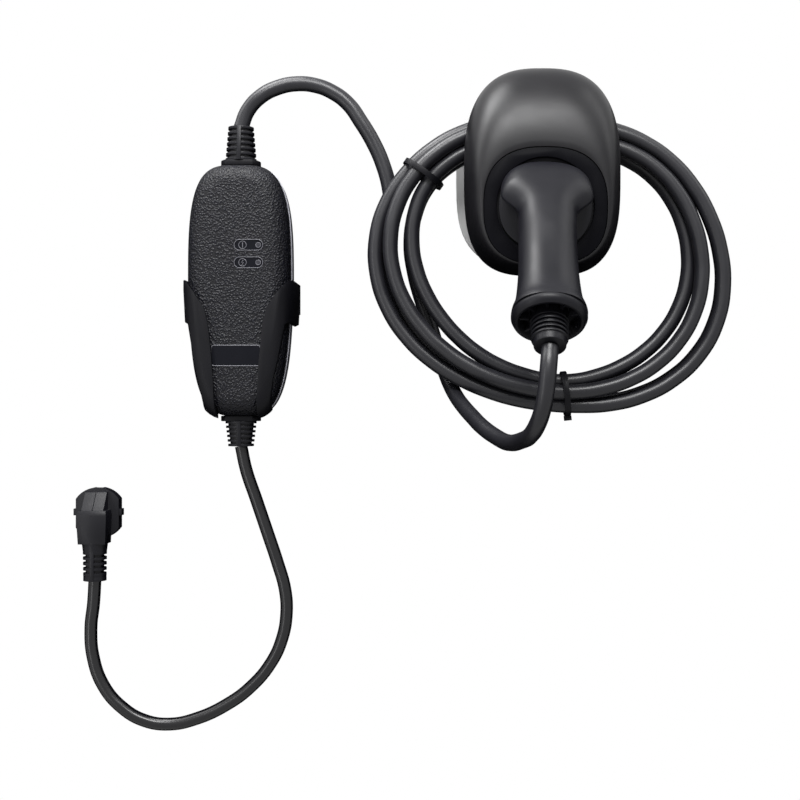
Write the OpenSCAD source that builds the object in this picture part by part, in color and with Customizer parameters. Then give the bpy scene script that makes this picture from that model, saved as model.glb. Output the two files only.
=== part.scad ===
// Wall-hung portable EV charger: control box in a cradle, mains lead with plug, charging cable coiled on
// a holster and the charging gun in it. Millimetres, +Z up, +Y into the wall, wall plane at y = 0.
// The origin is the centre of the holster's wall screws.

/* [Control box] */
// Width of the box at its widest
box_w = 76.8; // [66:0.2:96]
// Height of the box
box_h = 189; // [175:0.5:220]
// Depth of the box from back to front
box_d = 48; // [42:0.5:60]
// Wall of both covers
box_wall = 2.4; // [1.6:0.1:3.2]
// Squareness of the box outline, where 2 is an ellipse
box_square = 3.6; // [3:0.1:5]
// Share by which the box narrows from its middle to its bottom
box_taper = 0.11; // [0:0.01:0.14]
// How far the front edge's rounding reaches in
front_round = 14; // [10:0.5:16]
// How far the back edge's rounding reaches in
back_round = 8; // [5:0.5:10]
// Thickness of the seal between the covers
seal_t = 0.8; // [0.4:0.1:1.6]
// Centre of the box, sideways from the holster
box_x = -227; // [-260:1:-210]
// Centre of the box, upwards from the holster
box_z = -88.5; // [-120:0.5:-60]

/* [Box front] */
// Length of an indicator window
window_l = 21; // [18:0.2:26]
// Height of an indicator window
window_h = 7.8; // [7:0.2:11]
// Depth of the pocket that a window or panel sits in
pocket_depth = 1.2; // [0.8:0.1:1.4]
// Thickness of a window or panel
inlay_t = 0.8; // [0.4:0.1:1.2]
// Centre of the windows, to the right of the box's centre
window_x = 9.4; // [4:0.2:10]
// Centre of the upper window above the box's centre
power_window_z = 32.6; // [30:0.2:40]
// Centre of the lower window above the box's centre
charge_window_z = 19.6; // [12:0.2:22]
// Diameter of an indicator light
light_d = 3.4; // [2.4:0.1:4.4]
// Width of the blank name panel
panel_w = 36; // [28:0.5:40]
// Height of the blank name panel
panel_h = 15.2; // [12:0.2:20]
// Centre of the name panel below the box's centre
panel_drop = 49.5; // [44:0.5:54]

/* [Glands and boots] */
// Width of a gland's outer flange
gland_w = 30; // [26:0.5:34]
// Thickness of a gland's outer flange
gland_t = 4; // [3:0.5:6]
// Diameter of a boot at its wide end
boot_d = 23.4; // [21:0.2:26]
// Diameter of a boot at its cable end
boot_tip_d = 19; // [17:0.2:21]
// Length of the upper boot
upper_boot_l = 26; // [22:0.5:32]
// Length of the lower boot
lower_boot_l = 19; // [16:0.5:26]
// Depth of a boot's grooves
groove = 1.9; // [1:0.1:2]

/* [Cradle] */
// Thickness of the cradle's back plate
cradle_t = 4; // [3:0.5:8]
// Thickness of the cradle's arms
arm_t = 3; // [2:0.2:4]
// Distance between the cradle's two wall screws
cradle_hole_pitch = 70; // [50:1:80]
// Diameter of a wall screw hole
wall_hole_d = 5; // [4:0.2:6]

/* [Cables] */
// Diameter of the charging cable
ev_d = 11.5; // [9:0.1:12]
// Diameter of the mains lead
mains_d = 9.5; // [8:0.1:10]
// Half length of the coil's oval, at the middle of the bundle
coil_a = 119.5; // [116:0.5:128]
// Half width of the coil's oval, at the middle of the bundle
coil_b = 101; // [99:0.5:108]
// Radius of the ring that the strands lie on in the bundle
strand_ring = 9.4; // [9:0.1:10]
// Width of a cable tie's strap
tie_w = 4.2; // [3.6:0.1:7.6]
// Thickness of a cable tie's strap
tie_t = 1.2; // [1:0.1:2]

/* [Plug] */
// Diameter of the plug's round head
plug_d = 39.2; // [37:0.2:42]
// Width of the head over its two flats
plug_flat_w = 32.6; // [30:0.2:36]
// Thickness of the plug's round head
plug_head_t = 10; // [9:0.5:16]
// Depth of the plug from its face to its back
plug_depth = 27; // [25:0.5:38]
// Length of a mains pin beyond the face
pin_l = 19; // [18:0.5:20]
// Diameter of a mains pin
pin_d = 4.8; // [4:0.1:5]
// Distance between the mains pins
pin_pitch = 19; // [18:0.1:20]

/* [Holster] */
// Width of the holster's back plate
back_w = 127; // [122:0.5:136]
// Height of the holster's back plate
back_h = 138; // [132:0.5:150]
// Thickness of the holster's back plate
back_t = 6; // [5:0.5:8]
// Wall screws' distance in from the back plate's sides
hole_edge_x = 17.5; // [16:0.5:20]
// Wall screws' distance in from the back plate's top and bottom
hole_edge_z = 19; // [17:0.5:22]
// Outer diameter of the neck that the coil hangs on
neck_d = 85; // [82:0.5:86]
// Wall of the neck
neck_wall = 3; // [2:0.2:4]
// Width of the cable channel between back plate and dome
channel_w = 40; // [38:0.5:50]
// Width of the dome at its rear edge
dome_w = 115.4; // [110:0.2:122]
// Height of the dome at its rear edge
dome_h = 154; // [146:0.5:162]
// Depth of the dome
dome_d = 45; // [42:0.5:56]
// Wall of the dome
dome_wall = 3; // [2:0.2:4]
// Width of the dome's front lip
lip_w = 88.4; // [86:0.2:96]
// Height of the dome's front lip
lip_h = 84; // [82:0.2:92]
// Diameter of the bezel's opening
opening_d = 69.4; // [68:0.2:72]
// Thickness of the bezel
bezel_t = 4; // [3:0.5:6]

/* [Gun] */
// Height of the gun's plug axis above the wall screws' centre
gun_z = -33; // [-36:0.5:-30]
// Diameter of the round nose
nose_d = 56; // [52:0.5:58]
// Length of the nose beyond its seat
nose_l = 46; // [40:0.5:50]
// Width of the gun's flange
flange_w = 66; // [62:0.2:67]
// Height of the gun's flange
flange_h = 62; // [58:0.2:66]
// Distance from the seat to the bend of the handle
knee_out = 15.3; // [13:0.1:20]
// Length of the handle from the bend to its end
handle_l = 100; // [90:0.5:115]
// Lean of the handle from upright, in degrees
handle_lean = 34; // [28:0.5:40]
// Width of the handle at its slimmest
handle_w = 40; // [36:0.2:42]
// Diameter of the end cap
cap_d = 50.6; // [48:0.2:56]
// Wall of the handle
handle_wall = 3; // [2:0.2:4]
// Diameter of the gun's boot at its wide end
gun_boot_d = 26; // [23:0.2:27]
// Length of the gun's boot
gun_boot_l = 27; // [25:0.5:34]
// Turn of the gun in its socket, in degrees
gun_turn = 1.6; // [-4:0.1:4]

/* [Hidden] */

black = "#1b1b1d";
soft_black = "#232325";
grey = "#8c8c8c";
metal = "#c9c9c4";
green = "#1f5a38";
seat_gap = 0.3;       // between pieces that rest on each other without a fit
fit_gap = 0.1;        // between a round piece and its hole
facets = 64;          // points on a lofted outline
front_step = 15;      // angles between the rings of the front edge's rounding, the back edge's and the dome
back_step = 18;
dome_step = 10;
eps = 0.01;
$fn = 48;

// Control box frame: x and z from its centre, y from the wall
box_back = -cradle_t - seat_gap;
box_front = box_back - box_d;
box_seam = box_back - box_d / 2;
box_a = box_w / 2;
box_b = box_h / 2;
front_round_d = 16;   // depth of the front edge's rounding
back_round_d = 10;    // depth of the back edge's rounding
board_t = 1.6;
board_stand = 20;     // the board's back from the box's back
board_back = box_back - board_stand;
board_front = board_back - board_t;
board_side = 13;      // room beside the board and at its ends
board_end = 27.5;
board_w = box_w - 2 * board_side;
board_h = box_h - 2 * board_end;
screw_in_x = 6.5;     // cover screws from the board's sides and ends
screw_in_z = 8;
screw_x = board_w / 2 - screw_in_x;
screw_z = board_h / 2 - screw_in_z;
screw_r = 1.5;
head_r = 2.8;
head_t = 2.4;
boss_r = 5;
screw_reach = 14;     // a cover screw's tip beyond the board
screw_end = board_front - screw_reach;
seal_in = 0.4;        // the seal's edge behind the box's surface
light_in = 0.6;       // an indicator light from the centre of its window's round end
light_x = window_x + (window_l - window_h) / 2 + light_in;
gland_bore_r = 9;
gland_grip = 3;       // height and overhang of a gland's inner flange
gland_depth = box_d - front_round_d - back_round_d;
wall_hole_r = wall_hole_d / 2;
spine_w = 3;          // the front spine of a boot, and how far it stands out over the ribs
spine_out = 0.3;
upper_ribs = 6;
lower_ribs = 5;

// What stands on the board: sizes across, out and up, and places from the board's centre
relay_size = [20, 16, 28];
relay_x = 12;
relay_z = -32;
module_size = [34, 17, 22];
module_x = -7;
module_z = 2;
sensor_r = 10;
sensor_bore_r = 5.5;
sensor_t = 9;
sensor_x = -10;
sensor_z = 34;
terminal_size = [24, 11, 9];
terminal_in = 7;      // a terminal block's middle from the board's end
terminal_z = board_h / 2 - terminal_in;

// Cradle: front view of its left arm from the box's centre, in at the side, down the face and under it
arm_over = 12;        // how far the arm's cut reaches past the box
arm_points = [
    [-box_a - arm_over, 7], [-box_a - arm_over, -19], [-36, -26], [-31.5, -50], [-27.5, -67.5], [-25, -84],
    [-25, -box_b - arm_over], [-15.5, -box_b - arm_over], [-15.5, -box_b + 2], [-16.4, -69], [-17.7, -51],
    [-20.2, -27], [-23.2, -14], [-31, -2.5], [-box_a - 0.5, 7]
];
plate_top = 20;       // top of the back plate above the box's centre
plate_in = 6;         // the back plate's sides inside the box's outline
plate_waist = -50;    // top of the back plate's narrow lower part
hook_top = 3;         // top and bottom of the part of an arm that meets the wall
hook_bottom = -16;
hook_drop = -20;      // bottom of the back plate's part behind the hooks
plate_low_x = 20;     // the back plate's lower part, from its middle to its side
lip_end = -38;        // the arms' lips under the box reach back to here
lip_cut_h = 16;
cradle_hole_z = -30;

// Holster: places along y and the outlines' centres
neck_z = -28;
neck_r = neck_d / 2;
neck_bore_r = neck_r - neck_wall;
flange_t = 3;         // the neck's flange that closes the dome
dome_back = -back_t - channel_w - flange_t;
dome_front = dome_back - dome_d;
dome_z = -2;
lip_rise = 4;         // the lip's bottom above the dome's bottom
lip_z = dome_z - dome_h / 2 + lip_rise + lip_h / 2;
lip_step = 0.6;       // the bezel's face behind the lip
bezel_front = dome_front + lip_step;
bezel_back = bezel_front + bezel_t;
back_square = 3;
dome_square = [2.7, 3.3];       // squareness of the dome's upper and lower half
lip_square = [2.5, 2.7];
rear_lip = 10;        // width of the neck's ring at the back plate
rear_lip_t = 4;
neck_hole_skin = 1.5; // what the neck's screw holes leave of the back plate
cup_wall = 2.5;
cup_flange_t = 3;
cup_bore_r = nose_d / 2 + 2 * seat_gap;
cup_depth = nose_l + 5;
neck_screw_pitch_r = neck_bore_r - 5;

// Gun: seat plane, handle axis and its end
gun_seat = bezel_back - seat_gap;
knee = [0, gun_seat - knee_out, gun_z];
lean_d = [0, -sin(handle_lean), -cos(handle_lean)];
lean_u = [0, -cos(handle_lean), sin(handle_lean)];
handle_end = knee + handle_l * lean_d;
turned_d = [lean_d.z * sin(gun_turn), lean_d.y, lean_d.z * cos(gun_turn)];
base_t = 3;           // the nose's base plate, between the seat and the handle
nose_wall = 2.5;
nose_flat = nose_d * 0.12;      // what the nose's flat top takes off its round section
carrier_l = 34;
contact_back = 4;     // a contact's root, and the bottom of its bore, from the seat
contact_bore_back = 12;
contact_wall = 0.8;
handle_square = 2.3;
hood_square = 1.0;    // the hood's top is squarer by this
hood_low = 0.22;      // the hood's flanks run from here to here, as shares of a ring's half height
hood_high = 0.4;
hood_start = 0.5;     // and it narrows from here to here, as shares of the gun's head
hood_end = 0.8;
cap_t = 6;            // height of the cap's rim
cap_face = -2;        // bottom of the cap's dish from the end of the handle
cap_floor_t = 5;
cap_rim = 4.4;        // width of the cap's rounded rim
dish_slope = 4;       // how much narrower the dish is at its bottom
cap_spigot_r = cap_d / 2 - handle_wall - 3;
cap_rib_t = 1.6;
cap_rib_angle = 40;   // between one rib and the next
cap_rib_step = 2.5;   // the ribs' tops below the rim
cap_screw_x = 14.6;
cap_screw_y = -6;
gun_ribs = 4;
head_steps = 12;
gun_boot_cone = 7;    // lengths of the smooth cone at the boot's root and of its lip
gun_boot_lip = 5;
gun_boot_tip_d = 21.2;

// Plug: centre on the wall and places along y
plug_x = -336;
plug_z = -257;
plug_face = -pin_l - 1;
plug_back = plug_face - plug_depth;
plug_head_back = plug_face - plug_head_t;
plug_lead_y = -36;
plug_block_w = 22.4;  // the block that the lead leaves by
plug_block_tip_w = 20.4;
plug_block_ease = 1.5;          // how much the block draws in at its top and bottom
plug_block_bottom = -22;
plug_roof_w = 16.4;   // the narrower sloping roof over it
plug_roof_in = 2.5;   // the roof's top inside the head's round edge
plug_shoulder = -1;   // where the roof meets the block
plug_flare = 4;
plug_collar_l = 6;
plug_boot_d = 17.6;
plug_boot_tip_d = 17;
plug_boot_l = 22;
plug_boot_lip = 4;    // length of the smooth lip at the boot's end
plug_ribs = 5;
plug_tab = [3, 7, 5];
carrier_t = 6;
strip_w = 6;          // an earth strip's width, length and thickness
strip_l = 8;
strip_t = 1.2;
strip_in = 1.2;       // its middle below the head's round edge
strip_gap = 0.2;
carrier_r = pin_pitch / 2 + pin_d;
pin_root_r = pin_d / 2 - 0.4;   // the pins' thinner roots in their carrier
pin_root_l = 5;
pin_tip_l = 1.4;
pin_tip_in = 0.6;     // a pin's end face inside its root's outline

// Routes of the cables, points chosen by hand, and the directions in which two of them run into the coil
upper_route = [
    [-227, -28.3, 36], [-222, -28, 49], [-212, -28, 60], [-199, -27, 67], [-185, -26, 70],
    [-171, -25, 69], [-158, -25, 64], [-146, -25, 55], [-136, -25, 41], [-127, -24.6, 26],
    [-118, -24.4, 12], [-108.45, -25.25, 1.6]
];
upper_final = [8.3, -2.7, -4.9];
lower_route = [
    [-2.9, -174.95, -136.65], [-4.2, -180.5, -149.1], [-5.6, -181.5, -162.8], [-7.6, -177.7, -176],
    [-10.8, -169.6, -187.1], [-15, -158.3, -194.8], [-19.2, -147.7, -197.8], [-27.5, -127, -200.2],
    [-36, -108, -197], [-45, -89, -191], [-54, -70, -181], [-61, -57, -169], [-61.99, -47.6, -160]
];
lower_final = [4.6, 6.4, 6.1];
mains_route = [
    [-227, -28.3, -206], [-223, -29, -224], [-215, -30, -247], [-206, -31, -273], [-199, -31, -294],
    [-193, -32, -315], [-192, -32, -333], [-195, -33, -351], [-203, -34, -369], [-219, -35, -388],
    [-237, -36, -401], [-259, -37, -411], [-279, -38, -415], [-298, -39, -412], [-315, -39, -402],
    [-329, -38, -386], [-337, -37, -365], [-339, -36, -343], [-337, -36, -324], [-336, -36, -307]
];

// Coil: centre, tilt of its long axis and how its bundle opens out
coil_x = 8;
coil_z = -67;
coil_y = -33.5;
coil_lean = 6;        // the top of the coil lies this much nearer the wall than its middle
coil_tilt = 160;
coil_dip = 5;         // the turns flatten where they lie on the neck
coil_dip_at = 92;
coil_dip_sharpness = 14;
coil_bulge = 7;       // they stand out beside the neck, to its right
coil_bulge_at = 44;
coil_bulge_sharpness = 10;
coil_lift = 4;        // and hang less deep at the bottom than an oval
coil_lift_at = 270;
coil_lift_sharpness = 4;
coil_steps = 72;
strand_depth = 10.4;
spread_right = 7.6;   // the strands part at the lower right and at the left
spread_right_at = -30;
spread_right_sharpness = 8;
spread_left = 7.2;
spread_left_at = 193;
spread_left_sharpness = 8;
coil_pinch = 1.2;     // the ties draw the strands together
coil_pinch_sharpness = 60;
coil_slack = 0.2;
tie_gap = 0.5;        // between a tie's strap and the bundle
coil_square = 2.4;
tie_upper_at = 145;
tie_lower_at = 276;

// Outlines and lofts
function power(value, exponent) = sign(value) * pow(abs(value), exponent);
function outline(a, b, n_top, n_bottom) = [
    for (i = [0 : facets - 1])
        let (t = 360 * i / facets, n = sin(t) >= 0 ? n_top : n_bottom)
        [a * power(cos(t), 2 / n), b * power(sin(t), 2 / n)]
];
function stood(points, y, z = 0) = [for (p = points) [p.x, y, p.y + z]];
function mix(from, to, share) = from + (to - from) * share;
function eased(share) = let (s = min(max(share, 0), 1)) s * s * (3 - 2 * s);
function bezier(p, q, r, s) = mix(mix(p, q, s), mix(q, r, s), s);

// A solid through rings of points, each anticlockwise seen from the next; looped joins last to first
module loft(rings, looped = false) {
    m = len(rings[0]);
    k = len(rings);
    spans = looped ? k : k - 1;
    sides = [
        for (j = [0 : spans - 1], i = [0 : m - 1])
            let (a = j * m + i, b = j * m + (i + 1) % m, n = ((j + 1) % k) * m)
            each [[a, n + i, n + (i + 1) % m], [a, n + (i + 1) % m, b]]
    ];
    caps = looped ? [] : [[for (i = [0 : m - 1]) i], [for (i = [m - 1 : -1 : 0]) (k - 1) * m + i]];
    polyhedron(points = [for (ring = rings) each ring], faces = concat(sides, caps));
}

// A cable's tube along its route's own points; first and final are the directions of its two ends
module tube(route, d, first, final, sides = 12) {
    last = len(route) - 1;
    loft([
        for (i = [0 : last])
            let (
                along = i == 0 ? first : i == last ? final : route[i + 1] - route[i - 1],
                t = along / norm(along),
                side = [0, 1, 0] - t.y * t,
                v = side / norm(side),
                u = cross(v, t)
            )
            [for (j = [0 : sides - 1]) let (s = 360 * j / sides) route[i] + d / 2 * (cos(s) * u + sin(s) * v)]
    ]);
}

// A plate with the given outline, standing upright between two depths
module upright(back, front, z = 0) {
    translate([0, back, z]) rotate([90, 0, 0]) linear_extrude(back - front) children();
}

// A cylinder along y between two depths
module rod(r, back, front, x = 0, z = 0) {
    translate([x, back, z]) rotate([90, 0, 0]) cylinder(r = r, h = back - front);
}

module at_box() {
    translate([box_x, 0, box_z]) children();
}

// The box's outline, narrowing to its bottom
function box_points(a, b) = [
    for (p = outline(1, 1, box_square, box_square)) [a * p.x * (1 + box_taper * min(p.y, 0)), b * p.y]
];

module box_outline(grow = 0) {
    polygon(box_points(box_a + grow, box_b + grow));
}

// One ring of the box's surface, set in from the outline
function box_ring(inset, y) = stood(box_points(box_a - inset, box_b - inset), y);
// Rings from the start of the front rounding to the flat front, or of the back rounding to the flat back
function front_rings(inset, shorter) = [
    for (s = [0 : front_step : 90])
        box_ring(
            inset + front_round * (1 - cos(s)),
            box_front + front_round_d - (front_round_d - shorter) * sin(s)
        )
];
function back_rings(inset, shorter) = [
    for (s = [0 : back_step : 90])
        box_ring(
            inset + back_round * (1 - cos(s)),
            box_back - back_round_d + (back_round_d - shorter) * sin(s)
        )
];
function reversed(list) = [for (i = [len(list) - 1 : -1 : 0]) list[i]];

module at_box_screws() {
    for (x = [-screw_x, screw_x], z = [-screw_z, screw_z]) translate([x, 0, z]) children();
}

module pill(l, h) {
    square([l - h, h], center = true);
    for (x = [-1, 1]) translate([x * (l - h) / 2, 0]) circle(d = h);
}

module panel_shape(grow = 0) {
    square([panel_w + 2 * grow, panel_h + 2 * grow], center = true);
}

// The two gland holes along the seam
module gland_holes() {
    translate([0, box_seam, -box_b - gland_t]) cylinder(r = gland_bore_r + fit_gap, h = box_h + 2 * gland_t);
}

module box_front_cover() {
    color(black) at_box() difference() {
        union() {
            loft(concat(
                reversed(front_rings(box_wall, box_wall)),
                [box_ring(box_wall, box_seam - seal_t / 2), box_ring(0, box_seam - seal_t / 2)],
                front_rings(0, 0)
            ));
            at_box_screws() rod(boss_r, board_front, box_front + box_wall / 2);
        }
        gland_holes();
        at_box_screws() rod(screw_r + fit_gap / 2, board_front + eps, screw_end - 1);
        for (z = [power_window_z, charge_window_z]) {
            translate([window_x, 0, 0]) upright(box_front + pocket_depth, box_front - 1, z)
                pill(window_l, window_h);
            rod(light_d / 2 + fit_gap, box_front + box_wall + 1, box_front - 1, light_x, z);
        }
        upright(box_front + inlay_t, box_front - 1, -panel_drop) panel_shape();
    }
}

module box_rear_cover() {
    color(black) at_box() difference() {
        union() {
            loft(concat(
                reversed(back_rings(0, 0)),
                [box_ring(0, box_seam + seal_t / 2), box_ring(box_wall, box_seam + seal_t / 2)],
                back_rings(box_wall, box_wall)
            ));
            at_box_screws() rod(boss_r, box_back - box_wall / 2, board_back);
        }
        gland_holes();
        at_box_screws() {
            rod(screw_r + fit_gap, box_back + 1, board_back - 1);
            rod(head_r + fit_gap, box_back + 1, box_back - head_t - seat_gap);
        }
    }
}

module box_seal() {
    color(soft_black) at_box() difference() {
        upright(box_seam + seal_t / 2, box_seam - seal_t / 2) difference() {
            box_outline(-seal_in);
            box_outline(-box_wall);
        }
        gland_holes();
    }
}

module box_screws() {
    color(metal) at_box() at_box_screws() {
        rod(head_r, box_back - seat_gap, box_back - head_t - seat_gap);
        rod(screw_r, box_back - head_t - seat_gap, screw_end);
    }
}

module name_panel() {
    color(soft_black) at_box() upright(box_front + inlay_t, box_front, -panel_drop) panel_shape(-fit_gap);
}

module indicator_window(z) {
    color(soft_black) at_box() difference() {
        translate([window_x, 0, 0]) upright(box_front + pocket_depth, box_front + pocket_depth - inlay_t, z)
            pill(window_l - 2 * fit_gap, window_h - 2 * fit_gap);
        rod(light_d / 2 + fit_gap, box_front + pocket_depth + 1, box_front - 1, light_x, z);
    }
}

module power_window() indicator_window(power_window_z);
module charge_window() indicator_window(charge_window_z);

module light_pipe(z) {
    color("#e8e8e2") at_box() rod(light_d / 2, board_front, box_front + pocket_depth - inlay_t, light_x, z);
}

module power_light_pipe() light_pipe(power_window_z);
module charge_light_pipe() light_pipe(charge_window_z);

// A gland: outer flange on the box, neck through its wall, inner flange; drawn for the top of the box
module gland() {
    inner_top = box_b - box_wall - 1;
    grip_bottom = inner_top - gland_grip;
    translate([0, box_seam, 0]) {
        intersection() {
            translate([0, 0, box_b]) cylinder(d = gland_w, h = gland_t);
            translate([-gland_w, -gland_depth / 2, box_b]) cube([2 * gland_w, gland_depth, gland_t]);
        }
        translate([0, 0, grip_bottom]) cylinder(r = gland_bore_r, h = box_b + gland_t - grip_bottom);
        translate([0, 0, grip_bottom]) cylinder(r = gland_bore_r + gland_grip, h = gland_grip);
    }
}

// A ribbed boot along +z, and the spine on its front
module boot(l, d, tip_d, ribs) {
    step = l / (2 * ribs + 1);
    function r_at(k) = mix(d, tip_d, k / (2 * ribs + 1)) / 2 - (k % 2 == 1 ? groove : 0);
    rotate_extrude() polygon(concat(
        [[0, 0]],
        [for (k = [0 : 2 * ribs]) each [[r_at(k), k * step], [r_at(k), (k + 1) * step]]],
        [[0, l]]
    ));
}

module boot_spine(l, d, tip_d) {
    loft([
        for (end = [[0, d], [l, tip_d]])
            let (front = -end[1] / 2 - spine_out, side = spine_w / 2)
            [[-side, front, end[0]], [side, front, end[0]], [side, 0, end[0]], [-side, 0, end[0]]]
    ]);
}

module upper_gland() {
    color(soft_black) at_box() gland();
}

module lower_gland() {
    color(soft_black) at_box() mirror([0, 0, 1]) gland();
}

module upper_boot() {
    color(soft_black) at_box() translate([0, box_seam, box_b + gland_t]) {
        boot(upper_boot_l, boot_d, boot_tip_d, upper_ribs);
        boot_spine(upper_boot_l, boot_d, boot_tip_d);
    }
}

module lower_boot() {
    color(soft_black) at_box() translate([0, box_seam, -box_b - gland_t]) mirror([0, 0, 1]) {
        boot(lower_boot_l, boot_d, boot_tip_d, lower_ribs);
        boot_spine(lower_boot_l, boot_d, boot_tip_d);
    }
}

module control_board() {
    color(green) at_box() difference() {
        upright(board_back, board_front) square([board_w, board_h], center = true);
        at_box_screws() rod(screw_r + 2 * fit_gap, board_back + 1, board_front - 1);
    }
}

// A block that stands on the board's front face
module on_board(x, z, size) {
    at_box() translate([x - size.x / 2, board_front - size.y, z - size.z / 2]) cube(size);
}

module relays() {
    color("#2d4f8c") for (side = [-1, 1]) on_board(side * relay_x, relay_z, relay_size);
}

module power_module() {
    color("#2a2a2a") on_board(module_x, module_z, module_size);
}

module current_sensor() {
    color("#b5651d") at_box() difference() {
        rod(sensor_r, board_front, board_front - sensor_t, sensor_x, sensor_z);
        rod(sensor_bore_r, board_front + 1, board_front - sensor_t - 1, sensor_x, sensor_z);
    }
}

module terminal_blocks() {
    color("#3c8c4a") for (side = [-1, 1]) on_board(0, side * terminal_z, terminal_size);
}

// The shell that the cradle's arms are cut from, a skin over the box from the wall to its front
module cradle_skin() {
    out = -arm_t - seat_gap;
    loft(concat(
        reversed(front_rings(-seat_gap, -seat_gap)),
        [box_ring(-seat_gap, 0), box_ring(out, 0)],
        front_rings(out, out)
    ));
}

module cradle_arms() {
    intersection() {
        cradle_skin();
        for (side = [0, 1]) mirror([side, 0, 0]) upright(1, box_front - 2 * arm_t) polygon(arm_points);
    }
}

module wall_cradle() {
    under_box = -box_b - arm_t - seat_gap;
    color(soft_black) at_box() difference() {
        union() {
            difference() {
                cradle_arms();
                for (side = [0, 1]) mirror([side, 0, 0])
                    translate([0, lip_end, under_box - 1]) cube([box_a, 1 - lip_end, lip_cut_h]);
            }
            upright(0, -cradle_t) intersection() {
                box_outline(-seat_gap);
                union() {
                    translate([-box_a + plate_in, plate_waist])
                        square([box_w - 2 * plate_in, plate_top - plate_waist]);
                    translate([-plate_low_x, -box_b]) square([2 * plate_low_x, box_b]);
                    translate([-box_a, hook_drop]) square([box_w, hook_top - hook_drop]);
                }
            }
            for (side = [0, 1]) mirror([side, 0, 0]) translate([box_a - 1, -cradle_t, hook_bottom])
                cube([arm_t + seat_gap + 1, cradle_t, hook_top - hook_bottom]);
        }
        for (side = [-1, 1])
            rod(wall_hole_r, 1, -cradle_t - 1, 0, side * cradle_hole_pitch / 2 + cradle_hole_z);
    }
}

module mains_lead() {
    color(black) tube(mains_route, mains_d, [0, 0, -1], [0, 0, 1]);
}

module charge_lead_upper() {
    color(black) tube(upper_route, ev_d, [0, 0, 1], upper_final);
}

module charge_lead_lower() {
    color(black) tube(lower_route, ev_d, turned_d, lower_final);
}

// The coil's bundle at an angle: its middle, how far it opens out and its section
function swell(angle, at, sharpness) = pow((1 + cos(angle - at)) / 2, sharpness);
function coil_oval(f) = 1 / sqrt(pow(cos(f - coil_tilt) / coil_a, 2) + pow(sin(f - coil_tilt) / coil_b, 2));
function coil_r(f) = coil_oval(f) - coil_dip * swell(f, coil_dip_at, coil_dip_sharpness)
    + coil_bulge * swell(f, coil_bulge_at, coil_bulge_sharpness)
    - coil_lift * swell(f, coil_lift_at, coil_lift_sharpness);
function coil_half_w(f) = strand_ring + spread_right * swell(f, spread_right_at, spread_right_sharpness)
    + spread_left * swell(f, spread_left_at, spread_left_sharpness)
    - coil_pinch * swell(f, tie_upper_at, coil_pinch_sharpness)
    - coil_pinch * swell(f, tie_lower_at, coil_pinch_sharpness) + ev_d / 2 + coil_slack;
coil_half_d = strand_depth + ev_d / 2 + coil_slack;
function coil_depth(f) = coil_y + coil_lean * sin(f);
function coil_section(f, grow = 0, sides = 16) = [
    for (j = [0 : sides - 1])
        let (s = 360 * j / sides)
        [
            (coil_half_w(f) + grow) * power(cos(s), 2 / coil_square),
            (coil_half_d + grow) * power(sin(s), 2 / coil_square)
        ]
];
function coil_ring(f) = [
    for (p = coil_section(f))
        [coil_x + (coil_r(f) + p.x) * cos(f), coil_depth(f) + p.y, coil_z + (coil_r(f) + p.x) * sin(f)]
];

module cable_coil() {
    color(black) loft([for (i = [0 : coil_steps - 1]) coil_ring(360 * i / coil_steps)], looped = true);
}

// A tie round the bundle at an angle, with its lock on the outside, or behind, and a short tail
module cable_tie(f, behind) {
    lock = [3.6, 6, tie_w + 1.2];
    tail_l = 5;
    out = (behind ? coil_half_d : coil_half_w(f)) + tie_gap + tie_t;
    turned = [[cos(f), 0, -sin(f), 0], [0, 1, 0, 0], [sin(f), 0, cos(f), 0], [0, 0, 0, 1]];
    translate([coil_x + coil_r(f) * cos(f), coil_depth(f), coil_z + coil_r(f) * sin(f)]) multmatrix(turned) {
        translate([0, 0, -tie_w / 2]) linear_extrude(tie_w) difference() {
            polygon(coil_section(f, tie_gap + tie_t));
            polygon(coil_section(f, tie_gap));
        }
        rotate([0, 0, behind ? 90 : 0]) {
            translate([out - tie_t / 2, -lock.y / 2, -lock.z / 2]) cube(lock);
            translate([out + tie_t, -lock.y / 2 - tail_l, -tie_w / 2]) cube([tie_t, tail_l + eps, tie_w]);
        }
    }
}

module cable_tie_upper() {
    color(black) cable_tie(tie_upper_at, true);
}

module cable_tie_lower() {
    color(black) cable_tie(tie_lower_at, false);
}

module at_plug() {
    translate([plug_x, 0, plug_z]) children();
}

// The plug's round head with two flats
module plug_head_shape(grow = 0) {
    intersection() {
        circle(d = plug_d + 2 * grow);
        square([plug_flat_w + 2 * grow, plug_d + 2 * grow], center = true);
    }
}

// A prism across the plug from its side view, given as depths and heights
module plug_side(w, points) {
    translate([-w / 2, 0, 0]) rotate([90, 0, 90]) linear_extrude(w) polygon(points);
}

// The inner end of each earth strip, in the head's top and bottom
module at_earth_strips() {
    for (side = [-1, 1])
        translate([0, plug_face - strip_l - strip_gap, side * (plug_d / 2 - strip_in)]) children();
}

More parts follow.
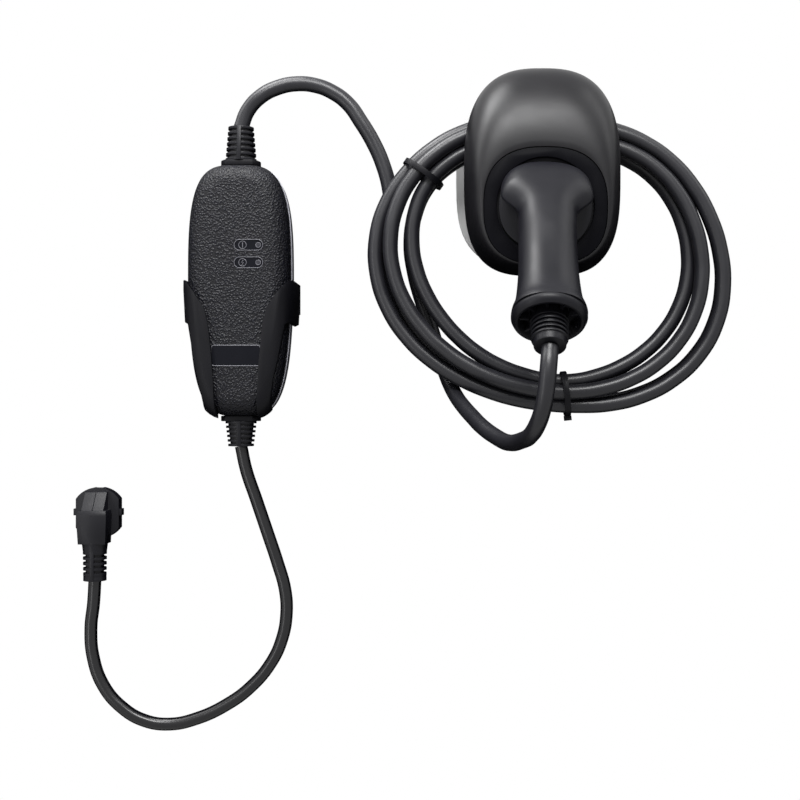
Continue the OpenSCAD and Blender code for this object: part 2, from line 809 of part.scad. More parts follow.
module plug_body() {
    root = plug_head_back + 1;
    eased_back = plug_back + plug_block_ease;
    function block_ring(w, front, z) = [
        [-w / 2, front, z], [-w / 2, root, z], [w / 2, root, z], [w / 2, front, z]
    ];
    roof_top = plug_d / 2 - plug_roof_in;
    collar_top = plug_block_bottom - plug_collar_l;
    color(black) at_plug() difference() {
        union() {
            upright(plug_face, plug_head_back) plug_head_shape();
            plug_side(plug_roof_w, [
                [root, roof_top], [root - plug_flare, roof_top - 1], [plug_back, plug_shoulder],
                [root, plug_shoulder - plug_flare]
            ]);
            loft([
                block_ring(plug_block_w - plug_block_ease, eased_back, plug_shoulder + plug_flare),
                block_ring(plug_block_w, plug_back, plug_shoulder),
                block_ring(plug_block_tip_w, eased_back, plug_block_bottom)
            ]);
            translate([0, plug_lead_y, collar_top])
                cylinder(d1 = plug_boot_d, d2 = plug_block_tip_w - 1, h = plug_collar_l + 1);
            for (side = [0, 1]) mirror([side, 0, 0])
                translate([plug_flat_w / 2 - 1, plug_head_back + 1, -plug_tab.z / 3]) cube(plug_tab);
            translate([0, plug_lead_y, collar_top]) mirror([0, 0, 1]) {
                boot(plug_boot_l, plug_boot_d, plug_boot_tip_d, plug_ribs);
                translate([0, 0, plug_boot_l - plug_boot_lip])
                    cylinder(d = plug_boot_tip_d, h = plug_boot_lip);
                boot_spine(plug_boot_l, plug_boot_d, plug_boot_tip_d);
            }
        }
        rod(carrier_r, plug_face + 1, plug_face - carrier_t);
        at_earth_strips() translate([-strip_w / 2 - strip_gap, 0, -strip_t])
            cube([strip_w + 2 * strip_gap, strip_l + 2, 2 * strip_t]);
    }
}

module plug_pin_carrier() {
    color(soft_black) at_plug() difference() {
        rod(carrier_r - fit_gap, plug_face, plug_face - carrier_t);
        for (x = [-1, 1]) rod(pin_root_r + fit_gap, plug_face + 1, plug_face - pin_root_l, x * pin_pitch / 2);
    }
}

module plug_pins() {
    color(metal) at_plug() for (x = [-1, 1]) {
        rod(pin_root_r, plug_face, plug_face - pin_root_l, x * pin_pitch / 2);
        rod(pin_d / 2, plug_face + pin_l - pin_tip_l, plug_face, x * pin_pitch / 2);
        translate([x * pin_pitch / 2, plug_face + pin_l - pin_tip_l, 0]) rotate([-90, 0, 0])
            cylinder(r1 = pin_d / 2, r2 = pin_root_r - pin_tip_in, h = pin_tip_l);
    }
}

module plug_earth_strips() {
    color(metal) at_plug() at_earth_strips()
        translate([-strip_w / 2, 0, -strip_t / 2]) cube([strip_w, strip_l, strip_t]);
}

module back_plate_shape() {
    polygon(outline(back_w / 2, back_h / 2, back_square, back_square));
}

module at_wall_holes() {
    for (x = [-1, 1], z = [-1, 1])
        translate([x * (back_w / 2 - hole_edge_x), 0, z * (back_h / 2 - hole_edge_z)]) children();
}

module at_neck_screws() {
    for (a = [45 : 90 : 315])
        translate([neck_screw_pitch_r * cos(a), 0, neck_z + neck_screw_pitch_r * sin(a)]) children();
}

module holster_back_plate() {
    color(grey) difference() {
        upright(0, -back_t) back_plate_shape();
        at_wall_holes() rod(wall_hole_r, 1, -back_t - 1);
        at_neck_screws() rod(screw_r + fit_gap / 2, -neck_hole_skin, -back_t - 1);
    }
}

// The dome's outline, from its rear edge (share 0) to its front lip (share 1)
function dome_ring(share, inset, y) =
    let (square = mix(dome_square, lip_square, share))
    stood(
        outline(
            mix(dome_w, lip_w, share) / 2 - inset, mix(dome_h, lip_h, share) / 2 - inset, square[0], square[1]
        ),
        y, mix(dome_z, lip_z, share)
    );
// Rings of the dome's surface, or of one that lies deeper by a wall
function dome_rings(wall) = [
    for (s = [0 : dome_step : 90]) dome_ring(1 - cos(s), wall * cos(s), dome_back - (dome_d - wall) * sin(s))
];

module holster_neck() {
    color(soft_black) difference() {
        union() {
            rod(neck_r, -back_t, bezel_back, 0, neck_z);
            loft([for (y = [dome_back + flange_t, dome_back]) dome_ring(0, seat_gap, y)]);
        }
        rod(neck_bore_r, -back_t - rear_lip_t, bezel_back - 1, 0, neck_z);
        rod(neck_bore_r - rear_lip, -back_t + 1, bezel_back, 0, neck_z);
        at_neck_screws() rod(screw_r + fit_gap, -back_t + 1, -back_t - rear_lip_t - 1);
    }
}

module holster_dome() {
    color(black) loft(concat(reversed(dome_rings(dome_wall)), dome_rings(0)), looped = true);
}

module holster_bezel() {
    color(soft_black) difference() {
        upright(bezel_back, bezel_front, lip_z)
            polygon(outline(lip_w / 2 - seat_gap, lip_h / 2 - seat_gap, lip_square[0], lip_square[1]));
        rod(opening_d / 2, bezel_back + 1, bezel_front - 1, 0, gun_z);
    }
}

module holster_socket_cup() {
    cup_r = cup_bore_r + cup_wall;
    color(soft_black) difference() {
        union() {
            rod(neck_bore_r - fit_gap, bezel_back + cup_flange_t, bezel_back, 0, neck_z);
            rod(cup_r, bezel_back + cup_depth + cup_wall, bezel_back, 0, gun_z);
        }
        rod(cup_bore_r, bezel_back + cup_depth, bezel_back - 1, 0, gun_z);
    }
}

module holster_screws() {
    color(metal) at_neck_screws() {
        rod(screw_r, -neck_hole_skin - seat_gap, -back_t - rear_lip_t);
        rod(head_r, -back_t - rear_lip_t, -back_t - rear_lip_t - head_t);
    }
}

// The gun, turned a little about the axis of its nose
module at_gun() {
    translate([0, 0, gun_z]) rotate([0, gun_turn, 0]) translate([0, 0, -gun_z]) children();
}

// One ring of the gun's handle between a point on its top line and one on its bottom line; its upper half can
// be wider than its lower one
function handle_ring(top, bottom, hood_w, half_w, square, inset) =
    let (mid = (top + bottom) / 2, up = (top - bottom) / 2, size = norm(up))
    [
        for (p = outline(1, 1, square, handle_square))
            let (w = mix(half_w, hood_w, eased((p.y - hood_low) / (hood_high - hood_low))))
            mid + [p.x * (w - inset), 0, 0] + up / size * p.y * (size - inset)
    ];

// Half height and half width of the straight handle at distances back from its end
handle_shape = [
    [65, handle_w / 2 + 0.2, handle_w / 2], [50, handle_w / 2 - 0.5, handle_w / 2],
    [35, handle_w / 2 - 0.4, handle_w / 2 + 0.4], [20, handle_w / 2 + 0.4, handle_w / 2 + 1.4],
    [10, mix(handle_w, cap_d, 0.35) / 2, mix(handle_w, cap_d, 0.5) / 2],
    [3, mix(handle_w, cap_d, 0.85) / 2, mix(handle_w, cap_d, 0.9) / 2], [0, cap_d / 2, cap_d / 2]
];
function handle_axis(back) = handle_end - back * lean_d;
flange_top = [0, gun_seat - base_t, gun_z + flange_h / 2];
flange_bottom = [0, gun_seat - base_t, gun_z - flange_h / 2];
// Where a line along the handle through a point reaches a height
function along_to(point, z) = point + lean_d * (z - point.z) / lean_d.z;
bend_top = handle_axis(handle_shape[0][0]) + handle_shape[0][1] * lean_u;
bend_bottom = handle_axis(handle_shape[0][0]) - handle_shape[0][1] * lean_u;
function handle_rings(inset) = concat(
    [
        for (s = [0 : 1 / head_steps : 1 - 0.5 / head_steps])
            handle_ring(
                bezier(flange_top, along_to(bend_top, flange_top.z), bend_top, s),
                bezier(flange_bottom, along_to(bend_bottom, flange_bottom.z), bend_bottom, s),
                mix(flange_w, handle_w, eased((s - hood_start) / (hood_end - hood_start))) / 2, handle_w / 2,
                handle_square + 4 * hood_square * s * (1 - s), inset
            )
    ],
    [
        for (h = handle_shape)
            let (axis = handle_axis(h[0]), half_h = h[1] * lean_u)
            handle_ring(axis + half_h, axis - half_h, h[2], h[2], handle_square, inset)
    ]
);

module gun_handle() {
    color(black) at_gun() loft(concat(reversed(handle_rings(handle_wall)), handle_rings(0)), looped = true);
}

module at_cap() {
    at_gun() translate(handle_end + 2 * eps * lean_d) rotate([180 - handle_lean, 0, 0]) children();
}

module at_cap_screws() {
    for (x = [-1, 1]) translate([x * cap_screw_x, cap_screw_y, 0]) children();
}

module gun_end_cap() {
    r = cap_d / 2;
    dish_r = r - cap_rim;
    floor_r = dish_r - dish_slope;
    boot_r = gun_boot_d / 2 + 2 * seat_gap;
    floor_bottom = cap_face - cap_floor_t;
    color(black) at_cap() difference() {
        union() {
            rotate_extrude() polygon([
                [0, floor_bottom], [cap_spigot_r, floor_bottom], [cap_spigot_r, 0], [r, 0], [r, cap_t / 3],
                [r - cap_rim / 4, 3 * cap_t / 4], [r - 2 * cap_rim / 3, cap_t], [dish_r, cap_t],
                [floor_r, cap_face], [0, cap_face]
            ]);
            for (a = [cap_rib_angle / 2 : cap_rib_angle : 360]) rotate([0, 0, a])
                translate([boot_r, -cap_rib_t / 2, cap_face - 1])
                cube([dish_r - boot_r, cap_rib_t, cap_t - cap_rib_step - cap_face + 1]);
        }
        at_cap_screws() {
            translate([0, 0, cap_face - head_t]) cylinder(r = head_r + fit_gap, h = cap_t - cap_face);
            translate([0, 0, floor_bottom - 1]) cylinder(r = screw_r + fit_gap, h = cap_t - floor_bottom);
        }
    }
}

module gun_cap_screws() {
    head_bottom = cap_face - head_t;
    screw_bottom = cap_face - cap_floor_t;
    color(metal) at_cap() at_cap_screws() {
        translate([0, 0, head_bottom]) cylinder(r = head_r, h = head_t - seat_gap);
        translate([0, 0, screw_bottom]) cylinder(r = screw_r, h = head_bottom - screw_bottom);
    }
}

module gun_boot() {
    rib_l = gun_boot_l - gun_boot_cone - gun_boot_lip;
    root_r = gun_boot_d / 2;
    color(soft_black) at_cap() translate([0, 0, cap_face]) {
        cylinder(r1 = root_r, r2 = root_r - groove, h = gun_boot_cone + eps);
        translate([0, 0, gun_boot_cone]) boot(rib_l, gun_boot_d, gun_boot_d - groove, gun_ribs);
        translate([0, 0, gun_boot_cone + rib_l - eps])
            cylinder(r1 = root_r - groove, r2 = gun_boot_tip_d / 2, h = gun_boot_lip);
    }
}

// The nose's round section with its flat top
module nose_shape(r) {
    intersection() {
        circle(r = r);
        translate([-r, -r]) square([2 * r, 2 * r - nose_flat]);
    }
}

module gun_nose() {
    color(soft_black) at_gun() {
        upright(gun_seat + nose_l, gun_seat, gun_z) difference() {
            nose_shape(nose_d / 2);
            nose_shape(nose_d / 2 - nose_wall);
        }
        upright(gun_seat, gun_seat - base_t, gun_z)
            polygon(outline(flange_w / 2, flange_h / 2, handle_square, handle_square));
    }
}

// Places of the seven contacts: three power lines, neutral, earth and two small signal ones
contacts = [[-9, -3.5], [9, -3.5], [-17.5, -3.5], [17.5, -3.5], [0, -15], [-8, 10], [8, 10]];
power_r = 2.9;
signal_r = 1.6;
contact_r = [power_r, power_r, power_r, power_r, power_r, signal_r, signal_r];

module at_contact(i) {
    at_gun() translate([contacts[i].x, gun_seat, gun_z + contacts[i].y]) children();
}

module gun_contact_carrier() {
    color(black) difference() {
        at_gun() upright(gun_seat + carrier_l, gun_seat, gun_z) nose_shape(nose_d / 2 - nose_wall - fit_gap);
        for (i = [0 : len(contacts) - 1])
            at_contact(i) rod(contact_r[i] + fit_gap, carrier_l + 1, contact_back);
    }
}

module gun_contacts() {
    color(metal) for (i = [0 : len(contacts) - 1]) at_contact(i) difference() {
        rod(contact_r[i], carrier_l - 1, contact_back);
        rod(contact_r[i] - contact_wall, carrier_l, contact_bore_back);
    }
}

box_front_cover();
box_rear_cover();
box_seal();
box_screws();
name_panel();
power_window();
charge_window();
power_light_pipe();
charge_light_pipe();
upper_gland();
upper_boot();
lower_gland();
lower_boot();
control_board();
relays();
current_sensor();
power_module();
terminal_blocks();
wall_cradle();
mains_lead();
plug_body();
plug_pin_carrier();
plug_pins();
plug_earth_strips();
charge_lead_upper();
cable_coil();
charge_lead_lower();
cable_tie_upper();
cable_tie_lower();
holster_back_plate();
holster_neck();
holster_dome();
holster_bezel();
holster_socket_cup();
holster_screws();
gun_handle();
gun_end_cap();
gun_boot();
gun_nose();
gun_contact_carrier();
gun_contacts();
gun_cap_screws();
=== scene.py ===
"""Dresses the wall-hung portable EV charger: finishes, smooth mouldings, both cables and a white studio."""

import logging
import math
from dataclasses import dataclass, field
from enum import Enum

import bpy
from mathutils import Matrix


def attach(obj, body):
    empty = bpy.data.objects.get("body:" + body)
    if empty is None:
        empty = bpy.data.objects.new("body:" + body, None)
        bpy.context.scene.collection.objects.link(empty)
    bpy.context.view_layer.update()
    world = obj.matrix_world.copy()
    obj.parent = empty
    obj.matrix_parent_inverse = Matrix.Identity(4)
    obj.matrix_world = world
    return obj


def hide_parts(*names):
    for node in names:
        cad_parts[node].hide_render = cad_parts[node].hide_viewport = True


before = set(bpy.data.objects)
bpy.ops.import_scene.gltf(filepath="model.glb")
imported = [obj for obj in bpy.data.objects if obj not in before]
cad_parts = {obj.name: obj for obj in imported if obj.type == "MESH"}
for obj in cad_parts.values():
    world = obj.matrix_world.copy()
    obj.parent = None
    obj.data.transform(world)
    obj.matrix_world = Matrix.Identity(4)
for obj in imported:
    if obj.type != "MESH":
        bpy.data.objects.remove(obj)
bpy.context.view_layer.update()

MM = 0.001
BODY = "root"
# Points nearer than this are one point, and faces flatter than this angle are one face
MERGE_MM = 0.002
FLAT_DEGREES = 0.6
Point = tuple[float, float, float]
Ring = list[Point]
log = logging.getLogger("ev_charger")


class Way(Enum):
    """Which ends of a lofted skin are closed."""

    CAPPED = "capped"
    LOOPED = "looped"


def linear(hex_colour: str) -> tuple[float, float, float, float]:
    """Turns an sRGB hex colour into linear RGBA.

    Args:
        hex_colour: Six hex digits with a leading hash.

    Returns:
        Red, green, blue and an alpha of one.
    """
    parts = [int(hex_colour[i : i + 2], 16) / 255 for i in (1, 3, 5)]
    red, green, blue = (c / 12.92 if c <= 0.04045 else ((c + 0.055) / 1.055) ** 2.4 for c in parts)
    return red, green, blue, 1.0


def add_node(tree: bpy.types.NodeTree, kind: str, inputs: dict | None = None, **settings) -> bpy.types.Node:
    """Adds one node with its settings, and a value or a link on each named input.

    Args:
        tree: The node tree that gets the node.
        kind: Blender's node type.
        inputs: Input name or number to a plain value or to the socket that feeds it.
        settings: The node's own properties.

    Returns:
        The new node.
    """
    node = tree.nodes.new(kind)
    for name, value in settings.items():
        setattr(node, name, value)
    for name, value in (inputs or {}).items():
        if isinstance(value, bpy.types.NodeSocket):
            tree.links.new(value, node.inputs[name])
        else:
            node.inputs[name].default_value = value
    return node


def empty_material(name: str) -> tuple[bpy.types.Material, bpy.types.NodeTree]:
    """Makes a material with no nodes.

    Args:
        name: The material's name.

    Returns:
        The material and its node tree.
    """
    material = bpy.data.materials.new(name)
    material.use_nodes = True
    material.node_tree.nodes.clear()
    return material, material.node_tree


def per_metre(size_mm: float) -> float:
    """Turns a pattern's real size in millimetres into a texture scale for coordinates in metres."""
    return 1 / (size_mm * MM)


@dataclass(frozen=True)
class MouldedPlastic:
    """A moulded polymer with a fine spark-eroded texture that breaks up its gloss and soft uneven tone."""

    name: str
    colour: str
    worn_colour: str
    roughness: float
    gleam: float = 0.25
    grain_mm: float = 0.7
    grain_depth_mm: float = 0.02
    patch_mm: float = 24.0

    def material(self) -> bpy.types.Material:
        """Builds the node material."""
        material, tree = empty_material(self.name)
        place = add_node(tree, "ShaderNodeTexCoord").outputs["Object"]
        patch = add_node(tree, "ShaderNodeTexNoise", {
            "Vector": place, "Scale": per_metre(self.patch_mm), "Detail": 3.0, "Roughness": 0.55})
        grain = add_node(tree, "ShaderNodeTexNoise", {
            "Vector": place, "Scale": per_metre(self.grain_mm), "Detail": 2.0, "Roughness": 0.6})
        tone = add_node(tree, "ShaderNodeMix", {
            "Factor": patch.outputs["Fac"], "A": linear(self.colour), "B": linear(self.worn_colour)},
            data_type="RGBA")
        gloss = add_node(tree, "ShaderNodeMapRange", {
            "Value": patch.outputs["Fac"], "From Min": 0.3, "From Max": 0.7,
            "To Min": self.roughness - 0.04, "To Max": self.roughness + 0.05})
        bump = add_node(tree, "ShaderNodeBump", {
            "Height": grain.outputs["Fac"], "Strength": 0.5, "Distance": self.grain_depth_mm * MM})
        shader = add_node(tree, "ShaderNodeBsdfPrincipled", {
            "Base Color": tone.outputs["Result"], "Roughness": gloss.outputs["Result"],
            "Normal": bump.outputs["Normal"], "Specular IOR Level": self.gleam})
        add_node(tree, "ShaderNodeOutputMaterial", {"Surface": shader.outputs["BSDF"]})
        return material


@dataclass(frozen=True)
class PebbledPlastic:
    """ABS moulded in a leather-grained tool: rounded pebbles, glossier on their tops, with painted shade
    darkening the creases between them.
    """

    name: str
    top_colour: str
    painted_crease_shade_colour: str
    roughness: float
    pebble_mm: float = 1.5
    pebble_depth_mm: float = 0.3
    gleam: float = 0.35

    def material(self) -> bpy.types.Material:
        """Builds the node material."""
        material, tree = empty_material(self.name)
        place = add_node(tree, "ShaderNodeTexCoord").outputs["Object"]
        wander = add_node(tree, "ShaderNodeTexNoise", {
            "Vector": place, "Scale": per_metre(2.4 * self.pebble_mm), "Detail": 2.0})
        shift = add_node(tree, "ShaderNodeVectorMath", {
            0: wander.outputs["Color"], 1: (1.1 * self.pebble_mm * MM,) * 3}, operation="MULTIPLY")
        bent = add_node(tree, "ShaderNodeVectorMath", {
            0: place, 1: shift.outputs["Vector"]}, operation="ADD")
        pebbles = add_node(tree, "ShaderNodeTexVoronoi", {
            "Vector": bent.outputs["Vector"], "Scale": per_metre(self.pebble_mm), "Smoothness": 0.6},
            feature="SMOOTH_F1")
        height = add_node(tree, "ShaderNodeMapRange", {
            "Value": pebbles.outputs["Distance"], "From Min": 0.1, "From Max": 0.72,
            "To Min": 1.0, "To Max": 0.0}, interpolation_type="SMOOTHSTEP")
        # Painted shade: the creases take the darker colour, the pebble tops the lighter one
        tone = add_node(tree, "ShaderNodeMix", {
            "Factor": height.outputs["Result"], "A": linear(self.painted_crease_shade_colour), "B": linear(self.top_colour)},
            data_type="RGBA")
        gloss = add_node(tree, "ShaderNodeMapRange", {
            "Value": height.outputs["Result"], "To Min": self.roughness + 0.25, "To Max": self.roughness})
        bump = add_node(tree, "ShaderNodeBump", {
            "Height": height.outputs["Result"], "Strength": 1.0, "Distance": self.pebble_depth_mm * MM})
        shader = add_node(tree, "ShaderNodeBsdfPrincipled", {
            "Base Color": tone.outputs["Result"], "Roughness": gloss.outputs["Result"],
            "Normal": bump.outputs["Normal"], "Specular IOR Level": self.gleam})
        add_node(tree, "ShaderNodeOutputMaterial", {"Surface": shader.outputs["BSDF"]})
        return material


@dataclass(frozen=True)
class PlatedMetal:
    """Turned metal with a bright plating: fine lathe marks and a little dulling in patches."""

    name: str
    colour: str
    dull_colour: str
    roughness: float
    mark_mm: float = 0.5

    def material(self) -> bpy.types.Material:
        """Builds the node material."""
        material, tree = empty_material(self.name)
        place = add_node(tree, "ShaderNodeTexCoord").outputs["Object"]
        marks = add_node(tree, "ShaderNodeTexNoise", {
            "Vector": place, "Scale": per_metre(self.mark_mm), "Detail": 2.0})
        dull = add_node(tree, "ShaderNodeMapRange", {
            "Value": marks.outputs["Fac"], "To Min": self.roughness - 0.08, "To Max": self.roughness + 0.1})
        tone = add_node(tree, "ShaderNodeMix", {
            "Factor": marks.outputs["Fac"], "A": linear(self.colour), "B": linear(self.dull_colour)},
            data_type="RGBA")
        shader = add_node(tree, "ShaderNodeBsdfPrincipled", {
            "Base Color": tone.outputs["Result"], "Roughness": dull.outputs["Result"], "Metallic": 1.0})
        add_node(tree, "ShaderNodeOutputMaterial", {"Surface": shader.outputs["BSDF"]})
        return material


Finish = MouldedPlastic | PebbledPlastic | PlatedMetal

# Pebbled ABS cover of the control box: black, with painted shade darkening the creases between the pebbles and
# grey glints on the glossier pebble tops
GRAINED_COVER = PebbledPlastic(
    "leather_grained_abs", "#0c0d16", "#020206", 0.28, pebble_depth_mm=0.5, gleam=0.22)
# Smooth ABS shells: satin black that turns mid grey where a soft light grazes it
SATIN_SHELL = MouldedPlastic("satin_black_abs", "#08080b", "#0b0a0e", 0.4, 0.26)
# The gun's softer shell
GUN_SHELL = MouldedPlastic("soft_touch_black_abs", "#0d0d12", "#121217", 0.4, 0.19)
# Polished rear half of the box, painted pale grey as a painted highlight: the pale line along the box's edge
# where light catches its rim
REAR_SHELL_PAINTED_RIM_HIGHLIGHT = MouldedPlastic("grey_painted_rim_highlight_abs", "#4a4a50", "#55555b", 0.3, 0.4, grain_depth_mm=0.004)
# Smooth inlays of the windows and the name panel
INLAY = MouldedPlastic(
    "smooth_polycarbonate_inlay", "#07080e", "#0a0b12", 0.4, 0.1, grain_depth_mm=0.006)
# Matte nylon of the cradle, the glands, the ties and the inner mouldings
MATTE_NYLON = MouldedPlastic("matte_black_nylon", "#08080b", "#0b0b10", 0.46, 0.13)
# Bluish black of the holster's bezel
BEZEL_NYLON = MouldedPlastic("blue_black_nylon", "#040407", "#06060a", 0.5, 0.05)
# Thermoplastic rubber of the boots and the plug
MOULDED_RUBBER = MouldedPlastic("moulded_black_rubber", "#0a0a0f", "#0f0f14", 0.4, 0.2)
# Extruded cable sheath: charcoal with a soft lengthwise gleam
CABLE_SHEATH = MouldedPlastic(
    "charcoal_cable_sheath", "#17171b", "#1d1d21", 0.36, 0.34, grain_depth_mm=0.006)
# The mains lead's harder and glossier sheath
MAINS_SHEATH = MouldedPlastic(
    "black_pvc_sheath", "#060609", "#0a0a0d", 0.28, 0.4, grain_depth_mm=0.004)
# Pale grey moulding of the holster's back plate
GREY_PLATE = MouldedPlastic("grey_moulded_abs", "#a6a6a6", "#b2b2b2", 0.5)
# Pale grey of the printed icons, and painted highlights on the window rims and the name panel's edges where
# light catches them
PRINT_AND_PAINTED_EDGE_HIGHLIGHT = MouldedPlastic("pale_grey_print_and_painted_edge_highlight", "#5e5e64", "#6a6a70", 0.4)
# Painted highlight: a bright band along the box's seam, where light catches its edge
SEAM_PAINTED_HIGHLIGHT = MouldedPlastic("painted_seam_highlight", "#9a9aa2", "#a6a6ae", 0.3, 0.4)
# Unlit indicator lens
LENS = MouldedPlastic("smoked_lens", "#2e2e33", "#36363c", 0.24, grain_depth_mm=0.002)
# Circuit board and the cases of what stands on it
BOARD = MouldedPlastic("green_solder_mask", "#1f5a38", "#256a42", 0.4)
CASES = MouldedPlastic("component_cases", "#2b3550", "#303a58", 0.5)
# Contacts and pins, the cover screws and the gun's screws
NICKEL = PlatedMetal("nickel_plated_brass", "#c9c5ba", "#8f8b84", 0.24)
ZINC = PlatedMetal("zinc_plated_steel", "#aeb0b3", "#85878b", 0.34)
BLACK_STEEL = PlatedMetal("blackened_steel", "#1c1c1e", "#101012", 0.4)


class FinishShelf:
    """Keeps one Blender material for each finish."""

    def __init__(self) -> None:
        """Starts with no material made."""
        self._made: dict[str, bpy.types.Material] = {}

    def put_on(self, piece: bpy.types.Object, finish: Finish) -> None:
        """Makes a finish the only material of a piece.

        Args:
            piece: The object to dress.
            finish: The finish that it gets.
        """
        if finish.name not in self._made:
            self._made[finish.name] = finish.material()
        piece.data.materials.clear()
        piece.data.materials.append(self._made[finish.name])


SHELF = FinishShelf()


def clear_selection() -> None:
    """Deselects every object."""
    bpy.ops.object.select_all(action="DESELECT")


def take_up(piece: bpy.types.Object) -> None:
    """Makes one object the only selected and the active one."""
    clear_selection()
    piece.select_set(True)
    bpy.context.view_layer.objects.active = piece


def superellipse(
        half_w: float, half_h: float, n_top: float, n_bottom: float, count: int) -> list[tuple[float, float]]:
    """Gives a rounded outline, anticlockwise from its right.

    Args:
        half_w: Half of its width.
        half_h: Half of its height.
        n_top: Squareness of the upper half.
        n_bottom: Squareness of the lower half.
        count: How many points.

    Returns:
        Points across and up from the outline's centre.
    """
    points = []
    for i in range(count):
        turn = 2 * math.pi * i / count
        power = 2 / (n_top if math.sin(turn) >= 0 else n_bottom)
        across = math.copysign(abs(math.cos(turn)) ** power, math.cos(turn))
        up = math.copysign(abs(math.sin(turn)) ** power, math.sin(turn))
        points.append((half_w * across, half_h * up))
    return points


def loft(name: str, rings: list[Ring], way: Way) -> bpy.types.Object:
    """Skins a grid over rings of points and closes it.

    Args:
        name: The piece's name.
        rings: Rings of equal count, in millimetres.
        way: Whether the ends are capped, or the last ring joins the first.

    Returns:
        The new object, its mesh in metres.
    """
    clear_selection()
    rows = rings + [rings[0]] if way is Way.LOOPED else rings
    count = len(rings[0])
    bpy.ops.mesh.primitive_grid_add(x_subdivisions=count, y_subdivisions=len(rows) - 1, size=1)
    piece = bpy.context.object
    piece.name = name
    for vertex in piece.data.vertices:
        row, column = divmod(vertex.index, count + 1)
        vertex.co = [value * MM for value in rows[row][column % count]]
    bpy.ops.object.mode_set(mode="EDIT")
    bpy.ops.mesh.select_all(action="SELECT")
    bpy.ops.mesh.remove_doubles(threshold=MERGE_MM * MM)
    if way is Way.CAPPED:
        bpy.ops.mesh.fill_holes(sides=0)
    bpy.ops.mesh.select_all(action="SELECT")
    bpy.ops.mesh.normals_make_consistent(inside=False)
    bpy.ops.object.mode_set(mode="OBJECT")
    return piece


def smooth(piece: bpy.types.Object, angle: float = 32.0) -> None:
    """Shades a piece smooth up to an edge angle in degrees."""
    take_up(piece)
    bpy.ops.object.shade_smooth_by_angle(angle=math.radians(angle))


def soften(piece: bpy.types.Object, width_mm: float, angle: float = 40.0) -> None:
    """Rounds a piece's sharp edges.

    Args:
        piece: The object to soften.
        width_mm: Width of the rounding.
        angle: Edges sharper than this many degrees are rounded.
    """
    take_up(piece)
    bevel = piece.modifiers.new("edge", "BEVEL")
    bevel.width = width_mm * MM
    bevel.segments = 2
    bevel.limit_method = "ANGLE"
    bevel.angle_limit = math.radians(angle)
    bpy.ops.object.modifier_apply(modifier=bevel.name)


def carve(piece: bpy.types.Object, cutter: bpy.types.Object) -> None:
    """Cuts one object out of another and removes the cutter."""
    take_up(piece)
    cut = piece.modifiers.new("cut", "BOOLEAN")
    cut.operation = "DIFFERENCE"
    cut.solver = "EXACT"
    cut.object = cutter
    bpy.ops.object.modifier_apply(modifier=cut.name)
    bpy.data.objects.remove(cutter)


def settle(piece: bpy.types.Object, finish: Finish, slot: str, *nodes: str) -> bpy.types.Object:
    """Dresses a finished piece and ties it to the frame.

    Args:
        piece: The finished object.
        finish: Its finish.
        slot: The record's material slot; not used.
        nodes: The CAD nodes that it stands for.

    Returns:
        The same object.
    """
    SHELF.put_on(piece, finish)
    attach(piece, BODY)
    if nodes:
        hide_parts(*nodes)
    log.info("piece %s: %d faces", piece.name, len(getattr(piece.data, "polygons", [])))
    return piece


def smooth_copy(node: str, finish: Finish, slot: str, edge_mm: float = 0.0) -> bpy.types.Object:
    """Copies a CAD node with its triangles merged, so that it can be shaded smooth.

    Args:
        node: The CAD node.
        finish: The copy's finish.
        slot: The record's material slot.
        edge_mm: Width of the rounding on its edges, or zero.

    Returns:
        The copy, which stands for the node.
    """
    clear_selection()
    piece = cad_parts[node].copy()
    piece.data = piece.data.copy()
    piece.name = f"{node}_skin"
    for key in list(piece.keys()):
        del piece[key]
    piece.parent = None
    bpy.context.scene.collection.objects.link(piece)
    take_up(piece)
    bpy.ops.object.mode_set(mode="EDIT")
    bpy.ops.mesh.select_all(action="SELECT")
    bpy.ops.mesh.customdata_custom_splitnormals_clear()
    bpy.ops.mesh.remove_doubles(threshold=MERGE_MM * MM)
    bpy.ops.mesh.dissolve_limited(angle_limit=math.radians(FLAT_DEGREES))
    bpy.ops.object.mode_set(mode="OBJECT")
    if edge_mm:
        soften(piece, edge_mm)
    smooth(piece)
    return settle(piece, finish, slot, node)


def bead(name: str, routes: list[Ring], radius_mm: float, cyclic: bool) -> bpy.types.Object:
    """Draws thin round beads along routes, as one mesh.

    Args:
        name: The piece's name.
        routes: Each bead's points, in millimetres.
        radius_mm: The beads' radius.
        cyclic: Whether each bead closes on itself.

    Returns:
        The new mesh object.
    """
    clear_selection()
    curve = bpy.data.curves.new(name, "CURVE")
    curve.dimensions = "3D"
    curve.bevel_depth = radius_mm * MM
    curve.bevel_resolution = 2
    curve.use_fill_caps = True
    for route in routes:
        spline = curve.splines.new("POLY")
        spline.points.add(len(route) - 1)
        spline.use_cyclic_u = cyclic
        for knot, place in zip(spline.points, route):
            knot.co = [value * MM for value in place] + [1]
    piece = bpy.data.objects.new(name, curve)
    bpy.context.scene.collection.objects.link(piece)
    take_up(piece)
    bpy.ops.object.convert(target="MESH")
    smooth(bpy.context.object)
    return bpy.context.object


@dataclass(frozen=True)
class SoftBox:
    """A rectangular soft light: where it hangs, what it points at, its width and height, and its power."""

    name: str
    place_mm: Point
    aim_mm: Point
    size_mm: tuple[float, float]
    watts: float

    def hang(self) -> None:
        """Adds the lamp, which shines along its own -Z, and points it at its aim."""
        light = bpy.data.lights.new(self.name, "AREA")
        light.shape = "RECTANGLE"
        light.size, light.size_y = (side * MM for side in self.size_mm)
        light.energy = self.watts
        lamp = bpy.data.objects.new(self.name, light)
        lamp.location = [value * MM for value in self.place_mm]
        x, y, z = (b - a for a, b in zip(self.place_mm, self.aim_mm))
        across = math.hypot(x, y)
        lamp.rotation_euler = (math.atan2(across, -z), 0.0, math.atan2(-x, y) if across else 0.0)
        bpy.context.scene.collection.objects.link(lamp)


